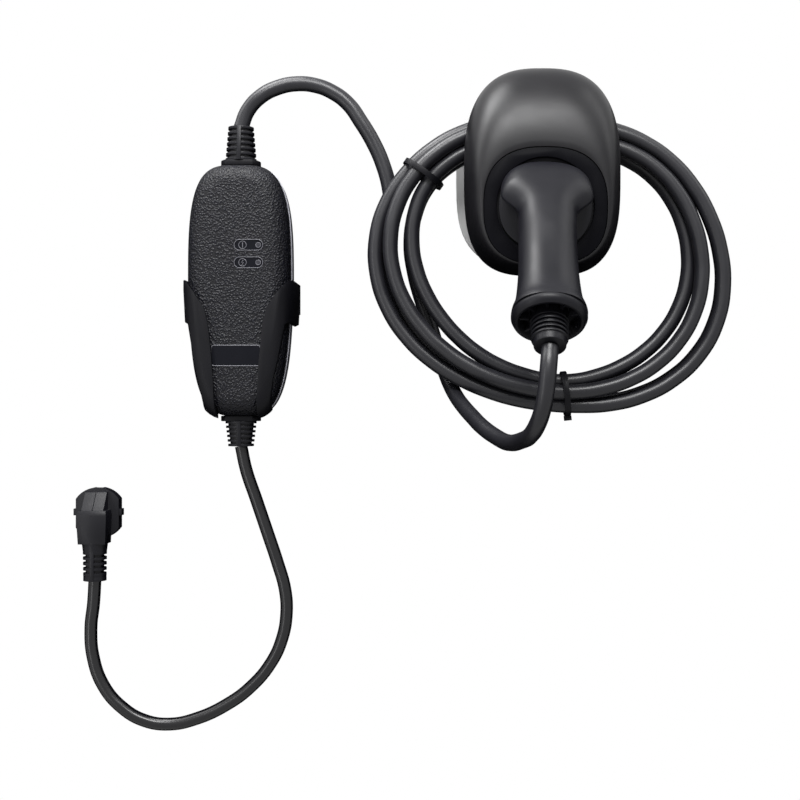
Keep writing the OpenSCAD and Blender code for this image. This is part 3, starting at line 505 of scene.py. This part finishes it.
@dataclass
class Studio:
    """Camera, white ground and soft lights."""

    eye_mm: Point = (-63.6, -1000.0, -171.0)
    lens_mm: float = 57.5
    sensor_mm: float = 36.0
    shift_x: float = -0.07
    floor_z_mm: float = -1150.0
    floor_mm: float = 9000.0
    fill: float = 0.16
    card_mm: float = 3000.0
    card_y_mm: float = 60.0
    card_top_mm: float = 100.0
    lamps: tuple[SoftBox, ...] = (
        SoftBox("key_box", (-60, -960, 820), (-20, -70, 10), (800, 360), 24),
        SoftBox("left_wing", (-700, -180, 620), (-40, -110, -60), (420, 700), 4.8),
        SoftBox("right_wing", (640, -220, 640), (0, -110, -60), (420, 700), 2.6),
        SoftBox("left_strip", (-850, -900, -100), (-180, -40, -120), (160, 1100), 3.2),
        SoftBox("plug_top", (-330, -150, 500), (-330, -40, -240), (300, 260), 4),
    )

    def camera(self) -> None:
        """Places the camera square to the wall."""
        camera = bpy.data.cameras.new("camera")
        camera.lens = self.lens_mm
        camera.sensor_width = self.sensor_mm
        camera.shift_x = self.shift_x
        camera.clip_start = 0.01
        eye = bpy.data.objects.new("camera", camera)
        eye.location = [value * MM for value in self.eye_mm]
        eye.rotation_euler = (math.pi / 2, 0, 0)
        bpy.context.scene.collection.objects.link(eye)
        bpy.context.scene.camera = eye

    def _seen_rays(self, tree: bpy.types.NodeTree) -> bpy.types.NodeSocket:
        """Gives one where a ray comes from the camera, a mirror or glass."""
        path = add_node(tree, "ShaderNodeLightPath")
        bright = add_node(tree, "ShaderNodeMath", {
            0: path.outputs["Is Camera Ray"], 1: path.outputs["Is Glossy Ray"]}, operation="MAXIMUM")
        return add_node(tree, "ShaderNodeMath", {
            0: bright.outputs["Value"], 1: path.outputs["Is Transmission Ray"]},
            operation="MAXIMUM").outputs["Value"]

    def white_world(self) -> None:
        """Makes the background white and its light on the object plain."""
        world = bpy.data.worlds.new("white_studio")
        bpy.context.scene.world = world
        world.use_nodes = True
        tree = world.node_tree
        tree.nodes.clear()
        strength = add_node(tree, "ShaderNodeMapRange", {
            "Value": self._seen_rays(tree), "To Min": self.fill, "To Max": 1.0})
        light = add_node(tree, "ShaderNodeBackground", {
            "Color": linear("#ffffff"), "Strength": strength.outputs["Result"]})
        add_node(tree, "ShaderNodeOutputWorld", {"Surface": light.outputs["Background"]})

    def floor(self) -> None:
        """Lays a pale floor well under the hung set."""
        clear_selection()
        bpy.ops.mesh.primitive_plane_add(size=self.floor_mm * MM, location=(0, 0, self.floor_z_mm * MM))
        ground = bpy.context.object
        ground.name = "floor"
        material, tree = empty_material("pale_floor")
        pale = add_node(tree, "ShaderNodeBsdfDiffuse", {"Color": linear("#f2f2f2")})
        white = add_node(tree, "ShaderNodeEmission", {"Color": linear("#ffffff"), "Strength": 1.0})
        both = add_node(tree, "ShaderNodeMixShader", {
            0: self._seen_rays(tree), 1: pale.outputs["BSDF"], 2: white.outputs["Emission"]})
        add_node(tree, "ShaderNodeOutputMaterial", {"Surface": both.outputs["Shader"]})
        ground.data.materials.append(material)

    def dark_card(self) -> None:
        """Stands a black card, unseen by the camera, behind the set, so that black pieces have dark edges."""
        clear_selection()
        middle_mm = self.card_top_mm - self.card_mm / 2
        bpy.ops.mesh.primitive_plane_add(
            size=self.card_mm * MM, location=(0, self.card_y_mm * MM, middle_mm * MM),
            rotation=(math.pi / 2, 0, 0))
        card = bpy.context.object
        card.name = "dark_card"
        card.visible_camera = card.visible_diffuse = card.visible_shadow = False
        material, tree = empty_material("black_flocking")
        black = add_node(tree, "ShaderNodeBsdfDiffuse", {"Color": linear("#020202")})
        add_node(tree, "ShaderNodeOutputMaterial", {"Surface": black.outputs["BSDF"]})
        card.data.materials.append(material)

    def build(self) -> None:
        """Sets up the whole studio."""
        bpy.context.scene.view_settings.view_transform = "Standard"
        self.camera()
        self.white_world()
        self.floor()
        self.dark_card()
        for lamp in self.lamps:
            lamp.hang()


@dataclass(frozen=True)
class Swell:
    """A smooth local change in the coil: how much, at what angle in degrees, and how sharply."""

    size: float
    at: float
    sharpness: float

    def value(self, turn: float) -> float:
        """Gives the change at an angle of the coil, in degrees."""
        return self.size * ((1 + math.cos(math.radians(turn - self.at))) / 2) ** self.sharpness


@dataclass
class Cables:
    """The charging cable with its coil, and the mains lead.

    The coil is a tilted oval that bulges beside the neck, dips where it lies on it and is lifted at its
    bottom. Its strands part at the right and at the left, and two ties draw them together.
    """

    ev_d: float = 11.5
    mains_d: float = 9.5
    coil_x: float = 8.0
    coil_z: float = -67.0
    coil_y: float = -33.5
    coil_lean: float = 6.0
    coil_a: float = 119.5
    coil_b: float = 101.0
    coil_tilt: float = 160.0
    bends: tuple[Swell, ...] = (Swell(7.0, 44, 10), Swell(-5.0, 92, 14), Swell(-4.0, 270, 4))
    strand_ring: float = 9.4
    strand_depth: float = 10.4
    spreads: tuple[Swell, ...] = (
        Swell(7.6, -30, 8), Swell(7.2, 193, 8), Swell(-1.2, 145, 60), Swell(-1.2, 276, 60))
    first_slot: float = 66.0
    slot_per_turn: float = -72.0
    first_angle: float = 172.0
    last_angle: float = 1625.0
    step: float = 12.0
    upper_route: Ring = field(default_factory=lambda: [
        (-227, -28.3, 36), (-222, -28, 49), (-212, -28, 60), (-199, -27, 67), (-185, -26, 70),
        (-171, -25, 69), (-158, -25, 64), (-146, -25, 55), (-136, -25, 41), (-127, -24.6, 26),
        (-119.5, -24.4, 9), (-114.5, -24, -10), (-113.2, -23.6, -29)])
    lower_route: Ring = field(default_factory=lambda: [
        (-90, -23.5, -94), (-84.5, -20, -110), (-80, -17.5, -125), (-76.6, -17, -136.6), (-72.4, -19.8, -148.4),
        (-68, -26.6, -159.5), (-63.1, -37.4, -168.8), (-57.7, -52.4, -176.3), (-51.6, -70.2, -183.2),
        (-45, -89, -190), (-36, -108, -196.5), (-27.5, -127, -200.2), (-19.2, -147.7, -197.8),
        (-15, -158.3, -194.8), (-10.8, -169.6, -187.1), (-7.6, -177.7, -176), (-5.6, -181.5, -162.8),
        (-4.2, -180.5, -149.1), (-2.9, -174.95, -136.65)])
    mains_route: Ring = field(default_factory=lambda: [
        (-227, -28.3, -206), (-223, -29, -224), (-215, -30, -247), (-206, -31, -273), (-199, -31, -294),
        (-193, -32, -315), (-192, -32, -333), (-195, -33, -351), (-203, -34, -369), (-219, -35, -388),
        (-237, -36, -401), (-259, -37, -411), (-279, -38, -415), (-298, -39, -412), (-315, -39, -402),
        (-329, -38, -386), (-337, -37, -365), (-339, -36, -343), (-337, -36, -324), (-336, -36, -307)])
    plug_seam: Ring = field(default_factory=lambda: [(-336, -33.2, -241), (-336, -46.9, -257.6)])
    plug_edge: float = 0.7
    seam_r: float = 0.3

    def _coil_point(self, angle: float) -> Point:
        """Gives the strand's place at an angle of the winding, in degrees."""
        turn = angle % 360
        f = math.radians(turn)
        tilted = math.radians(turn - self.coil_tilt)
        middle = 1 / math.hypot(math.cos(tilted) / self.coil_a, math.sin(tilted) / self.coil_b)
        middle += sum(bend.value(turn) for bend in self.bends)
        spread = self.strand_ring + sum(part.value(turn) for part in self.spreads)
        slot = math.radians(self.first_slot + self.slot_per_turn * (angle - 180) / 360)
        radius = middle + spread * math.cos(slot)
        depth = self.coil_y + self.coil_lean * math.sin(f) + self.strand_depth * math.sin(slot)
        return self.coil_x + radius * math.cos(f), depth, self.coil_z + radius * math.sin(f)

    def ev_route(self) -> Ring:
        """Gives the charging cable's points from the box, round the coil's turns, to the gun."""
        count = int((self.last_angle - self.first_angle) / self.step)
        turns = [self._coil_point(self.first_angle + self.step * i) for i in range(count + 1)]
        return self.upper_route + turns + self.lower_route

    def _cable(self, name: str, route: Ring, diameter: float) -> bpy.types.Object:
        """Draws a round cable as one smooth curve through its route.

        Args:
            name: The cable's name.
            route: Its points, in millimetres.
            diameter: Its diameter, in millimetres.

        Returns:
            The curve object.
        """
        curve = bpy.data.curves.new(name, "CURVE")
        curve.dimensions = "3D"
        curve.bevel_depth = diameter / 2 * MM
        curve.bevel_resolution = 6
        curve.resolution_u = 6
        curve.use_fill_caps = True
        spline = curve.splines.new("BEZIER")
        spline.bezier_points.add(len(route) - 1)
        for knot, place in zip(spline.bezier_points, route):
            knot.co = [value * MM for value in place]
            knot.handle_left_type = knot.handle_right_type = "AUTO"
        cable = bpy.data.objects.new(name, curve)
        bpy.context.scene.collection.objects.link(cable)
        return cable

    @staticmethod
    def _length(cable: bpy.types.Object) -> float:
        """Measures a cable's centreline in metres."""
        return cable.data.splines[0].calc_length()

    def build(self) -> None:
        ev = self._cable("charging_cable", self.ev_route(), self.ev_d)
        settle(ev, CABLE_SHEATH, "cable_black", "charge_lead_upper", "cable_coil", "charge_lead_lower")
        mains = self._cable("mains_cable", self.mains_route, self.mains_d)
        settle(mains, MAINS_SHEATH, "cable_black", "mains_lead")
        plug = [smooth_copy("plug_body", MOULDED_RUBBER, "rubber_black", self.plug_edge)]
        seam = bead("plug_roof_seam", [self.plug_seam], self.seam_r, False)
        plug.append(settle(seam, MATTE_NYLON, "rubber_black"))
        plug += [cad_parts[n] for n in ("plug_pin_carrier", "plug_pins", "plug_earth_strips")]
        log.info("cable lengths %.3f m and %.3f m", self._length(ev), self._length(mains))


@dataclass
class ControlBox:
    """The in-cable control box with its windows, glands and boots."""

    x: float = -227.0
    z: float = -88.5
    half_w: float = 38.4
    taper: float = 0.11
    half_h: float = 94.5
    square: float = 3.6
    back: float = -4.3
    depth: float = 48.0
    wall: float = 2.4
    front_round: float = 14.0
    front_round_d: float = 16.0
    back_round: float = 8.0
    back_round_d: float = 10.0
    seal: float = 0.8
    count: int = 128
    pill_count: int = 48
    circle_count: int = 40
    window_x: float = 9.4
    window_l: float = 21.0
    window_h: float = 7.8
    pocket: float = 1.2
    panel_pocket: float = 0.8
    cutter_d: float = 8.0
    window_zs: tuple[float, float] = (32.6, 19.6)
    icon_x: float = 5.0
    icon_r: float = 2.8
    light_x: float = 16.6
    light_r: float = 1.8
    panel_w: float = 36.0
    panel_h: float = 15.2
    panel_drop: float = 49.5
    panel_corner: float = 1.6
    panel_cut: float = 0.5
    mark_in: float = 0.36
    mark_half: float = 1.9
    rim_r: float = 0.22
    ring_r: float = 0.24
    mark_r: float = 0.3
    edge_r: float = 0.32
    band_r: float = 0.7
    bead_out: float = 0.1

    @property
    def front(self) -> float:
        """Depth of the flat front."""
        return self.back - self.depth

    @property
    def seam(self) -> float:
        """Depth of the seam between the covers."""
        return self.back - self.depth / 2

    def _ring(self, inset: float, y: float) -> Ring:
        """Gives one ring of the box's surface, set in from its outline."""
        outline = superellipse(1, 1, self.square, self.square, self.count)
        wide, high = self.half_w - inset, self.half_h - inset
        return [(self.x + wide * across * (1 + self.taper * min(up, 0)), y, self.z + high * up)
                for across, up in outline]

    def _rounding(self, inset: float, shorter: float, front: bool, steps: int = 14) -> list[Ring]:
        """Gives the rings of the front or back rounding, from the side to the flat.

        Args:
            inset: How far inside the outer surface.
            shorter: How much less deep than the outer surface.
            front: Front rounding, or else the back one.
            steps: How many steps of the rounding.

        Returns:
            The rings, in order from the side inwards.
        """
        reach, deep = (self.front_round, self.front_round_d) if front else (self.back_round, self.back_round_d)
        start, sign = (self.front + deep, -1) if front else (self.back - deep, 1)
        rings = []
        for i in range(steps + 1):
            turn = math.pi / 2 * i / steps
            y = start + sign * (deep - shorter) * math.sin(turn)
            rings.append(self._ring(inset + reach * (1 - math.cos(turn)), y))
        return rings

    def _pill(self, z: float) -> bpy.types.Object:
        """Makes a window's pill-shaped cutter that reaches into the front."""
        clear_selection()
        bpy.ops.mesh.primitive_cylinder_add(
            vertices=self.pill_count, radius=self.window_h / 2 * MM, depth=self.cutter_d * MM,
            rotation=(math.pi / 2, 0, 0))
        bpy.ops.object.transform_apply(location=True, rotation=True, scale=True)
        cutter = bpy.context.object
        for vertex in cutter.data.vertices:
            side = math.copysign((self.window_l - self.window_h) / 2 * MM, vertex.co.x)
            vertex.co.x += (self.x + self.window_x) * MM + side
            vertex.co.y += (self.front + self.pocket - self.cutter_d / 2) * MM
            vertex.co.z += (self.z + z) * MM
        return cutter

    def _panel_cutter(self) -> bpy.types.Object:
        """Makes the name panel's cutter."""
        clear_selection()
        bpy.ops.mesh.primitive_cube_add(size=1)
        cutter = bpy.context.object
        for vertex in cutter.data.vertices:
            vertex.co.x = (self.x + vertex.co.x * self.panel_w) * MM
            vertex.co.y = (self.front + self.panel_pocket + (vertex.co.y - 0.5) * self.cutter_d) * MM
            vertex.co.z = (self.z - self.panel_drop + vertex.co.z * self.panel_h) * MM
        return cutter

    def front_cover(self) -> None:
        """Makes the grained front cover with its pockets."""
        rim = self.seam - self.seal / 2
        inner = self._rounding(self.wall, self.wall, True)[::-1]
        cover = loft("front_cover_skin", inner + [self._ring(self.wall, rim), self._ring(0, rim)]
                     + self._rounding(0, 0, True), Way.CAPPED)
        for z in self.window_zs:
            carve(cover, self._pill(z))
        carve(cover, self._panel_cutter())
        smooth(cover)
        settle(cover, GRAINED_COVER, "grained_black", "box_front_cover")

    def rear_cover(self) -> None:
        """Makes the polished rear cover, painted grey as a painted rim highlight."""
        rim = self.seam + self.seal / 2
        outer = self._rounding(0, 0, False)[::-1]
        cover = loft("rear_cover_skin", outer + [self._ring(0, rim), self._ring(self.wall, rim)]
                     + self._rounding(self.wall, self.wall, False), Way.CAPPED)
        smooth(cover)
        settle(cover, REAR_SHELL_PAINTED_RIM_HIGHLIGHT, "satin_black", "box_rear_cover")

    def _pill_outline(self, z: float) -> Ring:
        """Gives the outline of a window, grown a little, on the front face."""
        radius = self.window_h / 2 + self.bead_out
        straight = (self.window_l - self.window_h) / 2
        ring = []
        for i in range(self.pill_count):
            turn = 2 * math.pi * (i + 0.5) / self.pill_count
            side = math.copysign(straight, math.cos(turn))
            ring.append((self.x + self.window_x + side + radius * math.cos(turn), self.front,
                         self.z + z + radius * math.sin(turn)))
        return ring

    def _circle(self, x: float, y: float, z: float, radius: float) -> Ring:
        """Gives a circle on a plane parallel to the front."""
        turns = [2 * math.pi * i / self.circle_count for i in range(self.circle_count)]
        return [(self.x + x + radius * math.cos(t), y, self.z + z + radius * math.sin(t)) for t in turns]

    def trim(self) -> None:
        """Draws the window rims and the name panel's edges as painted highlights, the painted highlight band
        along the seam, and the printed icons.
        """
        # Painted highlights on the window rims
        rims = bead("window_rim_painted_highlights", [self._pill_outline(z) for z in self.window_zs], self.rim_r, True)
        settle(rims, PRINT_AND_PAINTED_EDGE_HIGHLIGHT, "smooth_black")
        # Painted highlight along the seam between the covers
        band = bead("box_seam_painted_highlight", [self._ring(self.bead_out, self.seam)], self.band_r, True)
        settle(band, SEAM_PAINTED_HIGHLIGHT, "back_grey")
        face = self.front + self.mark_in
        rings = [self._circle(self.icon_x, face, z, self.icon_r) for z in self.window_zs]
        rings += [self._circle(self.light_x, face, z, self.light_r) for z in self.window_zs]
        settle(bead("window_icon_rings", rings, self.ring_r, True), PRINT_AND_PAINTED_EDGE_HIGHLIGHT, "smooth_black")
        x = self.x + self.icon_x
        upper, lower = (self.z + z for z in self.window_zs)
        stroke = [(x, face, upper - self.mark_half), (x, face, upper + self.mark_half)]
        bolt = [(x + 0.5, face, lower + self.mark_half), (x - 0.9, face, lower - 0.2),
                (x + 0.9, face, lower + 0.2), (x - 0.5, face, lower - self.mark_half)]
        settle(bead("window_icon_marks", [stroke, bolt], self.mark_r, False), PRINT_AND_PAINTED_EDGE_HIGHLIGHT, "smooth_black")
        # Painted highlights on the name panel's edges
        edges = bead("name_panel_painted_edge_highlights", [self._panel_edge(-1), self._panel_edge(1)], self.edge_r, False)
        settle(edges, PRINT_AND_PAINTED_EDGE_HIGHLIGHT, "smooth_black")

    def _panel_edge(self, sign: int) -> Ring:
        """Gives the name panel's lower edge, sign -1, or its upper one with its two rounded corners."""
        half = self.panel_w / 2
        edge = self.z - self.panel_drop + sign * self.panel_h / 2
        corner = [(half, edge - sign * self.panel_corner), (half - self.panel_cut, edge - sign * self.panel_cut),
                  (half - self.panel_corner, edge)]
        left = [(self.x - across, self.front, up) for across, up in corner]
        return left + [(self.x + across, self.front, up) for across, up in corner[::-1]]

    def build(self) -> None:
        """Builds and dresses the whole box."""
        self.front_cover()
        self.rear_cover()
        self.trim()
        for node in ("name_panel", "power_window", "charge_window"):
            SHELF.put_on(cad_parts[node], INLAY)
        for node in ("power_light_pipe", "charge_light_pipe"):
            smooth_copy(node, LENS, "light_pipe", 0.3)
        for node in ("upper_gland", "lower_gland"):
            smooth_copy(node, MATTE_NYLON, "matte_black", 0.5)
        for node in ("upper_boot", "lower_boot"):
            smooth_copy(node, MOULDED_RUBBER, "rubber_black", 0.35)
        SHELF.put_on(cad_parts["box_seal"], MOULDED_RUBBER)
        SHELF.put_on(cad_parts["box_screws"], ZINC)
        SHELF.put_on(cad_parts["control_board"], BOARD)
        for node in ("relays", "current_sensor", "power_module", "terminal_blocks"):
            SHELF.put_on(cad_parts[node], CASES)


@dataclass
class Holster:
    """The wall holster: back plate, neck, dome, bezel and socket cup."""

    dome_back: float = -49.0
    dome_depth: float = 45.0
    dome_w: float = 115.4
    dome_h: float = 154.0
    dome_z: float = -2.0
    lip_w: float = 88.4
    lip_h: float = 84.0
    lip_z: float = -33.0
    dome_square: tuple[float, float] = (2.7, 3.3)
    lip_square: tuple[float, float] = (2.5, 2.7)
    wall: float = 3.0
    count: int = 128
    steps: int = 22

    def _ring(self, share: float, inset: float, y: float) -> Ring:
        """Gives the dome's outline between its rear edge, share 0, and its front lip, share 1."""
        def mix(a: float, b: float) -> float:
            """Blends two sizes by the share."""
            return a + (b - a) * share
        top, bottom = map(mix, self.dome_square, self.lip_square)
        half_w, half_h = mix(self.dome_w, self.lip_w) / 2, mix(self.dome_h, self.lip_h) / 2
        outline = superellipse(half_w - inset, half_h - inset, top, bottom, self.count)
        return [(across, y, mix(self.dome_z, self.lip_z) + up) for across, up in outline]

    def _skin(self, wall: float) -> list[Ring]:
        """Gives the rings of the dome's surface, or of one deeper by a wall, from rear edge to lip."""
        rings = []
        for i in range(self.steps + 1):
            turn = math.pi / 2 * i / self.steps
            y = self.dome_back - (self.dome_depth - wall) * math.sin(turn)
            rings.append(self._ring(1 - math.cos(turn), wall * math.cos(turn), y))
        return rings

    def dome(self) -> None:
        """Makes the domed cover."""
        dome = loft("dome_skin", self._skin(self.wall)[::-1] + self._skin(0), Way.LOOPED)
        soften(dome, 0.5, 60)
        smooth(dome, 40)
        settle(dome, SATIN_SHELL, "satin_black", "holster_dome")

    def build(self) -> None:
        """Builds and dresses the holster."""
        self.dome()
        smooth_copy("holster_back_plate", GREY_PLATE, "back_grey", 0.8)
        smooth_copy("holster_neck", MATTE_NYLON, "matte_black")
        smooth_copy("holster_bezel", BEZEL_NYLON, "matte_black", 0.5)
        smooth_copy("holster_socket_cup", MATTE_NYLON, "matte_black")
        SHELF.put_on(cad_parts["holster_screws"], ZINC)


def eased(value: float, start: float, end: float) -> float:
    """Rises smoothly from zero at a start to one at an end."""
    share = min(max((value - start) / (end - start), 0), 1)
    return share**2 * (3 - 2 * share)


def through(knots: list[Point], per_span: int) -> list[Point]:
    """Draws a smooth curve through triples.

    Args:
        knots: The triples that it passes through.
        per_span: Steps between two of them.

    Returns:
        The curve's points, from the first triple to the last.
    """
    ends = [knots[0], *knots, knots[-1]]
    points = []
    for a, b, c, d in zip(ends, ends[1:], ends[2:], ends[3:]):
        for i in range(per_span):
            s = i / per_span
            weights = ((-s + 2 * s**2 - s**3) / 2, (2 - 5 * s**2 + 3 * s**3) / 2,
                       (s + 4 * s**2 - 3 * s**3) / 2, (s**3 - s**2) / 2)
            points.append(tuple(sum(w * k[axis] for w, k in zip(weights, (a, b, c, d))) for axis in range(3)))
    return [*points, knots[-1]]


@dataclass
class Gun:
    """The charging gun in the holster, turned a little in its socket."""

    axis_z: float = -33.0
    seat: float = -89.7
    base_t: float = 3.0
    knee_out: float = 15.3
    handle_l: float = 100.0
    lean: float = 34.0
    turn: float = 1.6
    flange_w: float = 66.0
    flange_h: float = 62.0
    handle_w: float = 40.0
    cap_d: float = 50.6
    wall: float = 3.0
    square: float = 2.3
    hood_square: float = 1.0
    hood_low: float = 0.22
    hood_high: float = 0.4
    hood_start: float = 0.5
    hood_end: float = 0.8
    count: int = 128
    head_steps: int = 28

    def _ring(self, top: tuple[float, float], bottom: tuple[float, float], hood_w: float, half_w: float,
              square: float, inset: float) -> Ring:
        """Gives one ring of the handle, whose upper half can be wider than its lower one.

        Args:
            top: Depth and height of the ring's top.
            bottom: Depth and height of its bottom.
            hood_w: Half width of its upper half.
            half_w: Half width of its lower half.
            square: Squareness of its upper half.
            inset: How far inside the outer surface.

        Returns:
            The ring's points, turned with the gun.
        """
        mid = [(a + b) / 2 for a, b in zip(top, bottom)]
        half = [(a - b) / 2 for a, b in zip(top, bottom)]
        size = math.hypot(*half)
        swing = math.radians(self.turn)
        ring = []
        for across, up in superellipse(1, 1, square, self.square, self.count):
            width = half_w + (hood_w - half_w) * eased(up, self.hood_low, self.hood_high)
            x = across * (width - inset)
            y, z = (m + h / size * up * (size - inset) for m, h in zip(mid, half))
            ring.append((x * math.cos(swing) + (z - self.axis_z) * math.sin(swing), y,
                         self.axis_z + (z - self.axis_z) * math.cos(swing) - x * math.sin(swing)))
        return ring

    def _straight(self) -> list[Point]:
        """Gives the straight handle's distances from its end, half heights and half widths."""
        slim, wide = self.handle_w / 2, self.cap_d / 2
        flare = wide - slim
        knots = [(65, slim + 0.2, slim), (50, slim - 0.5, slim), (35, slim - 0.4, slim + 0.4),
                 (20, slim + 0.4, slim + 1.4), (10, slim + 0.35 * flare, slim + 0.5 * flare),
                 (3, slim + 0.85 * flare, slim + 0.9 * flare), (0, wide, wide)]
        return through(knots, 5)

    def _rings(self, inset: float) -> list[Ring]:
        """Gives the handle's rings from its seat to its end."""
        down = (-math.sin(math.radians(self.lean)), -math.cos(math.radians(self.lean)))
        out = (down[1], -down[0])
        knee = (self.seat - self.knee_out, self.axis_z)

        def on_handle(back: float, off: float) -> tuple[float, float]:
            """Gives a place by its distance from the handle's end and its distance off the axis."""
            along = self.handle_l - back
            return tuple(k + along * d + off * o for k, d, o in zip(knee, down, out))

        def line(sign: int, s: float) -> tuple[float, float]:
            """Gives the head's top or bottom line at a share of its length."""
            start = (self.seat - self.base_t, self.axis_z + sign * self.flange_h / 2)
            end = on_handle(straight[0][0], sign * straight[0][1])
            rise = (start[1] - end[1]) / down[1]
            bend = (end[0] + rise * down[0], start[1])
            return tuple((1 - s) ** 2 * a + 2 * s * (1 - s) * b + s**2 * c for a, b, c in zip(start, bend, end))

        straight = self._straight()
        rings = []
        for i in range(self.head_steps):
            s = i / self.head_steps
            narrowing = (self.flange_w - self.handle_w) * eased(s, self.hood_start, self.hood_end)
            hood = (self.flange_w - narrowing) / 2
            square = self.square + 4 * self.hood_square * s * (1 - s)
            rings.append(self._ring(line(1, s), line(-1, s), hood, self.handle_w / 2, square, inset))
        for back, half_h, half_w in straight:
            rings.append(self._ring(on_handle(back, half_h), on_handle(back, -half_h), half_w, half_w,
                                    self.square, inset))
        return rings

    def handle(self) -> None:
        """Makes the handle with its hood."""
        handle = loft("gun_handle_skin", self._rings(self.wall)[::-1] + self._rings(0), Way.LOOPED)
        smooth(handle, 50)
        settle(handle, GUN_SHELL, "satin_black", "gun_handle")

    def build(self) -> None:
        """Builds and dresses the gun."""
        self.handle()
        smooth_copy("gun_end_cap", GUN_SHELL, "satin_black", 0.4)
        smooth_copy("gun_boot", MOULDED_RUBBER, "rubber_black", 0.4)
        smooth_copy("gun_nose", GUN_SHELL, "matte_black", 0.4)
        SHELF.put_on(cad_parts["gun_contact_carrier"], MATTE_NYLON)
        SHELF.put_on(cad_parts["gun_contacts"], NICKEL)
        SHELF.put_on(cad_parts["gun_cap_screws"], BLACK_STEEL)


class WallSide:
    """The cradle, the plug and the cable ties."""

    def build(self) -> None:
        """Dresses the pieces that keep their CAD shape."""
        smooth_copy("wall_cradle", MATTE_NYLON, "matte_black", 0.5)
        SHELF.put_on(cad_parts["plug_pin_carrier"], MATTE_NYLON)
        SHELF.put_on(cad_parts["plug_pins"], NICKEL)
        SHELF.put_on(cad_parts["plug_earth_strips"], NICKEL)
        for node in ("cable_tie_upper", "cable_tie_lower"):
            smooth_copy(node, MATTE_NYLON, "matte_black", 0.3)


def main() -> None:
    """Builds the studio and every sub-assembly in order."""
    logging.basicConfig(level=logging.INFO, format="%(name)s: %(message)s")
    for assembly in (Studio(), Cables(), ControlBox(), WallSide(), Holster(), Gun()):
        assembly.build()
        log.info("%s done", type(assembly).__name__)


if __name__ == "__main__":
    main()
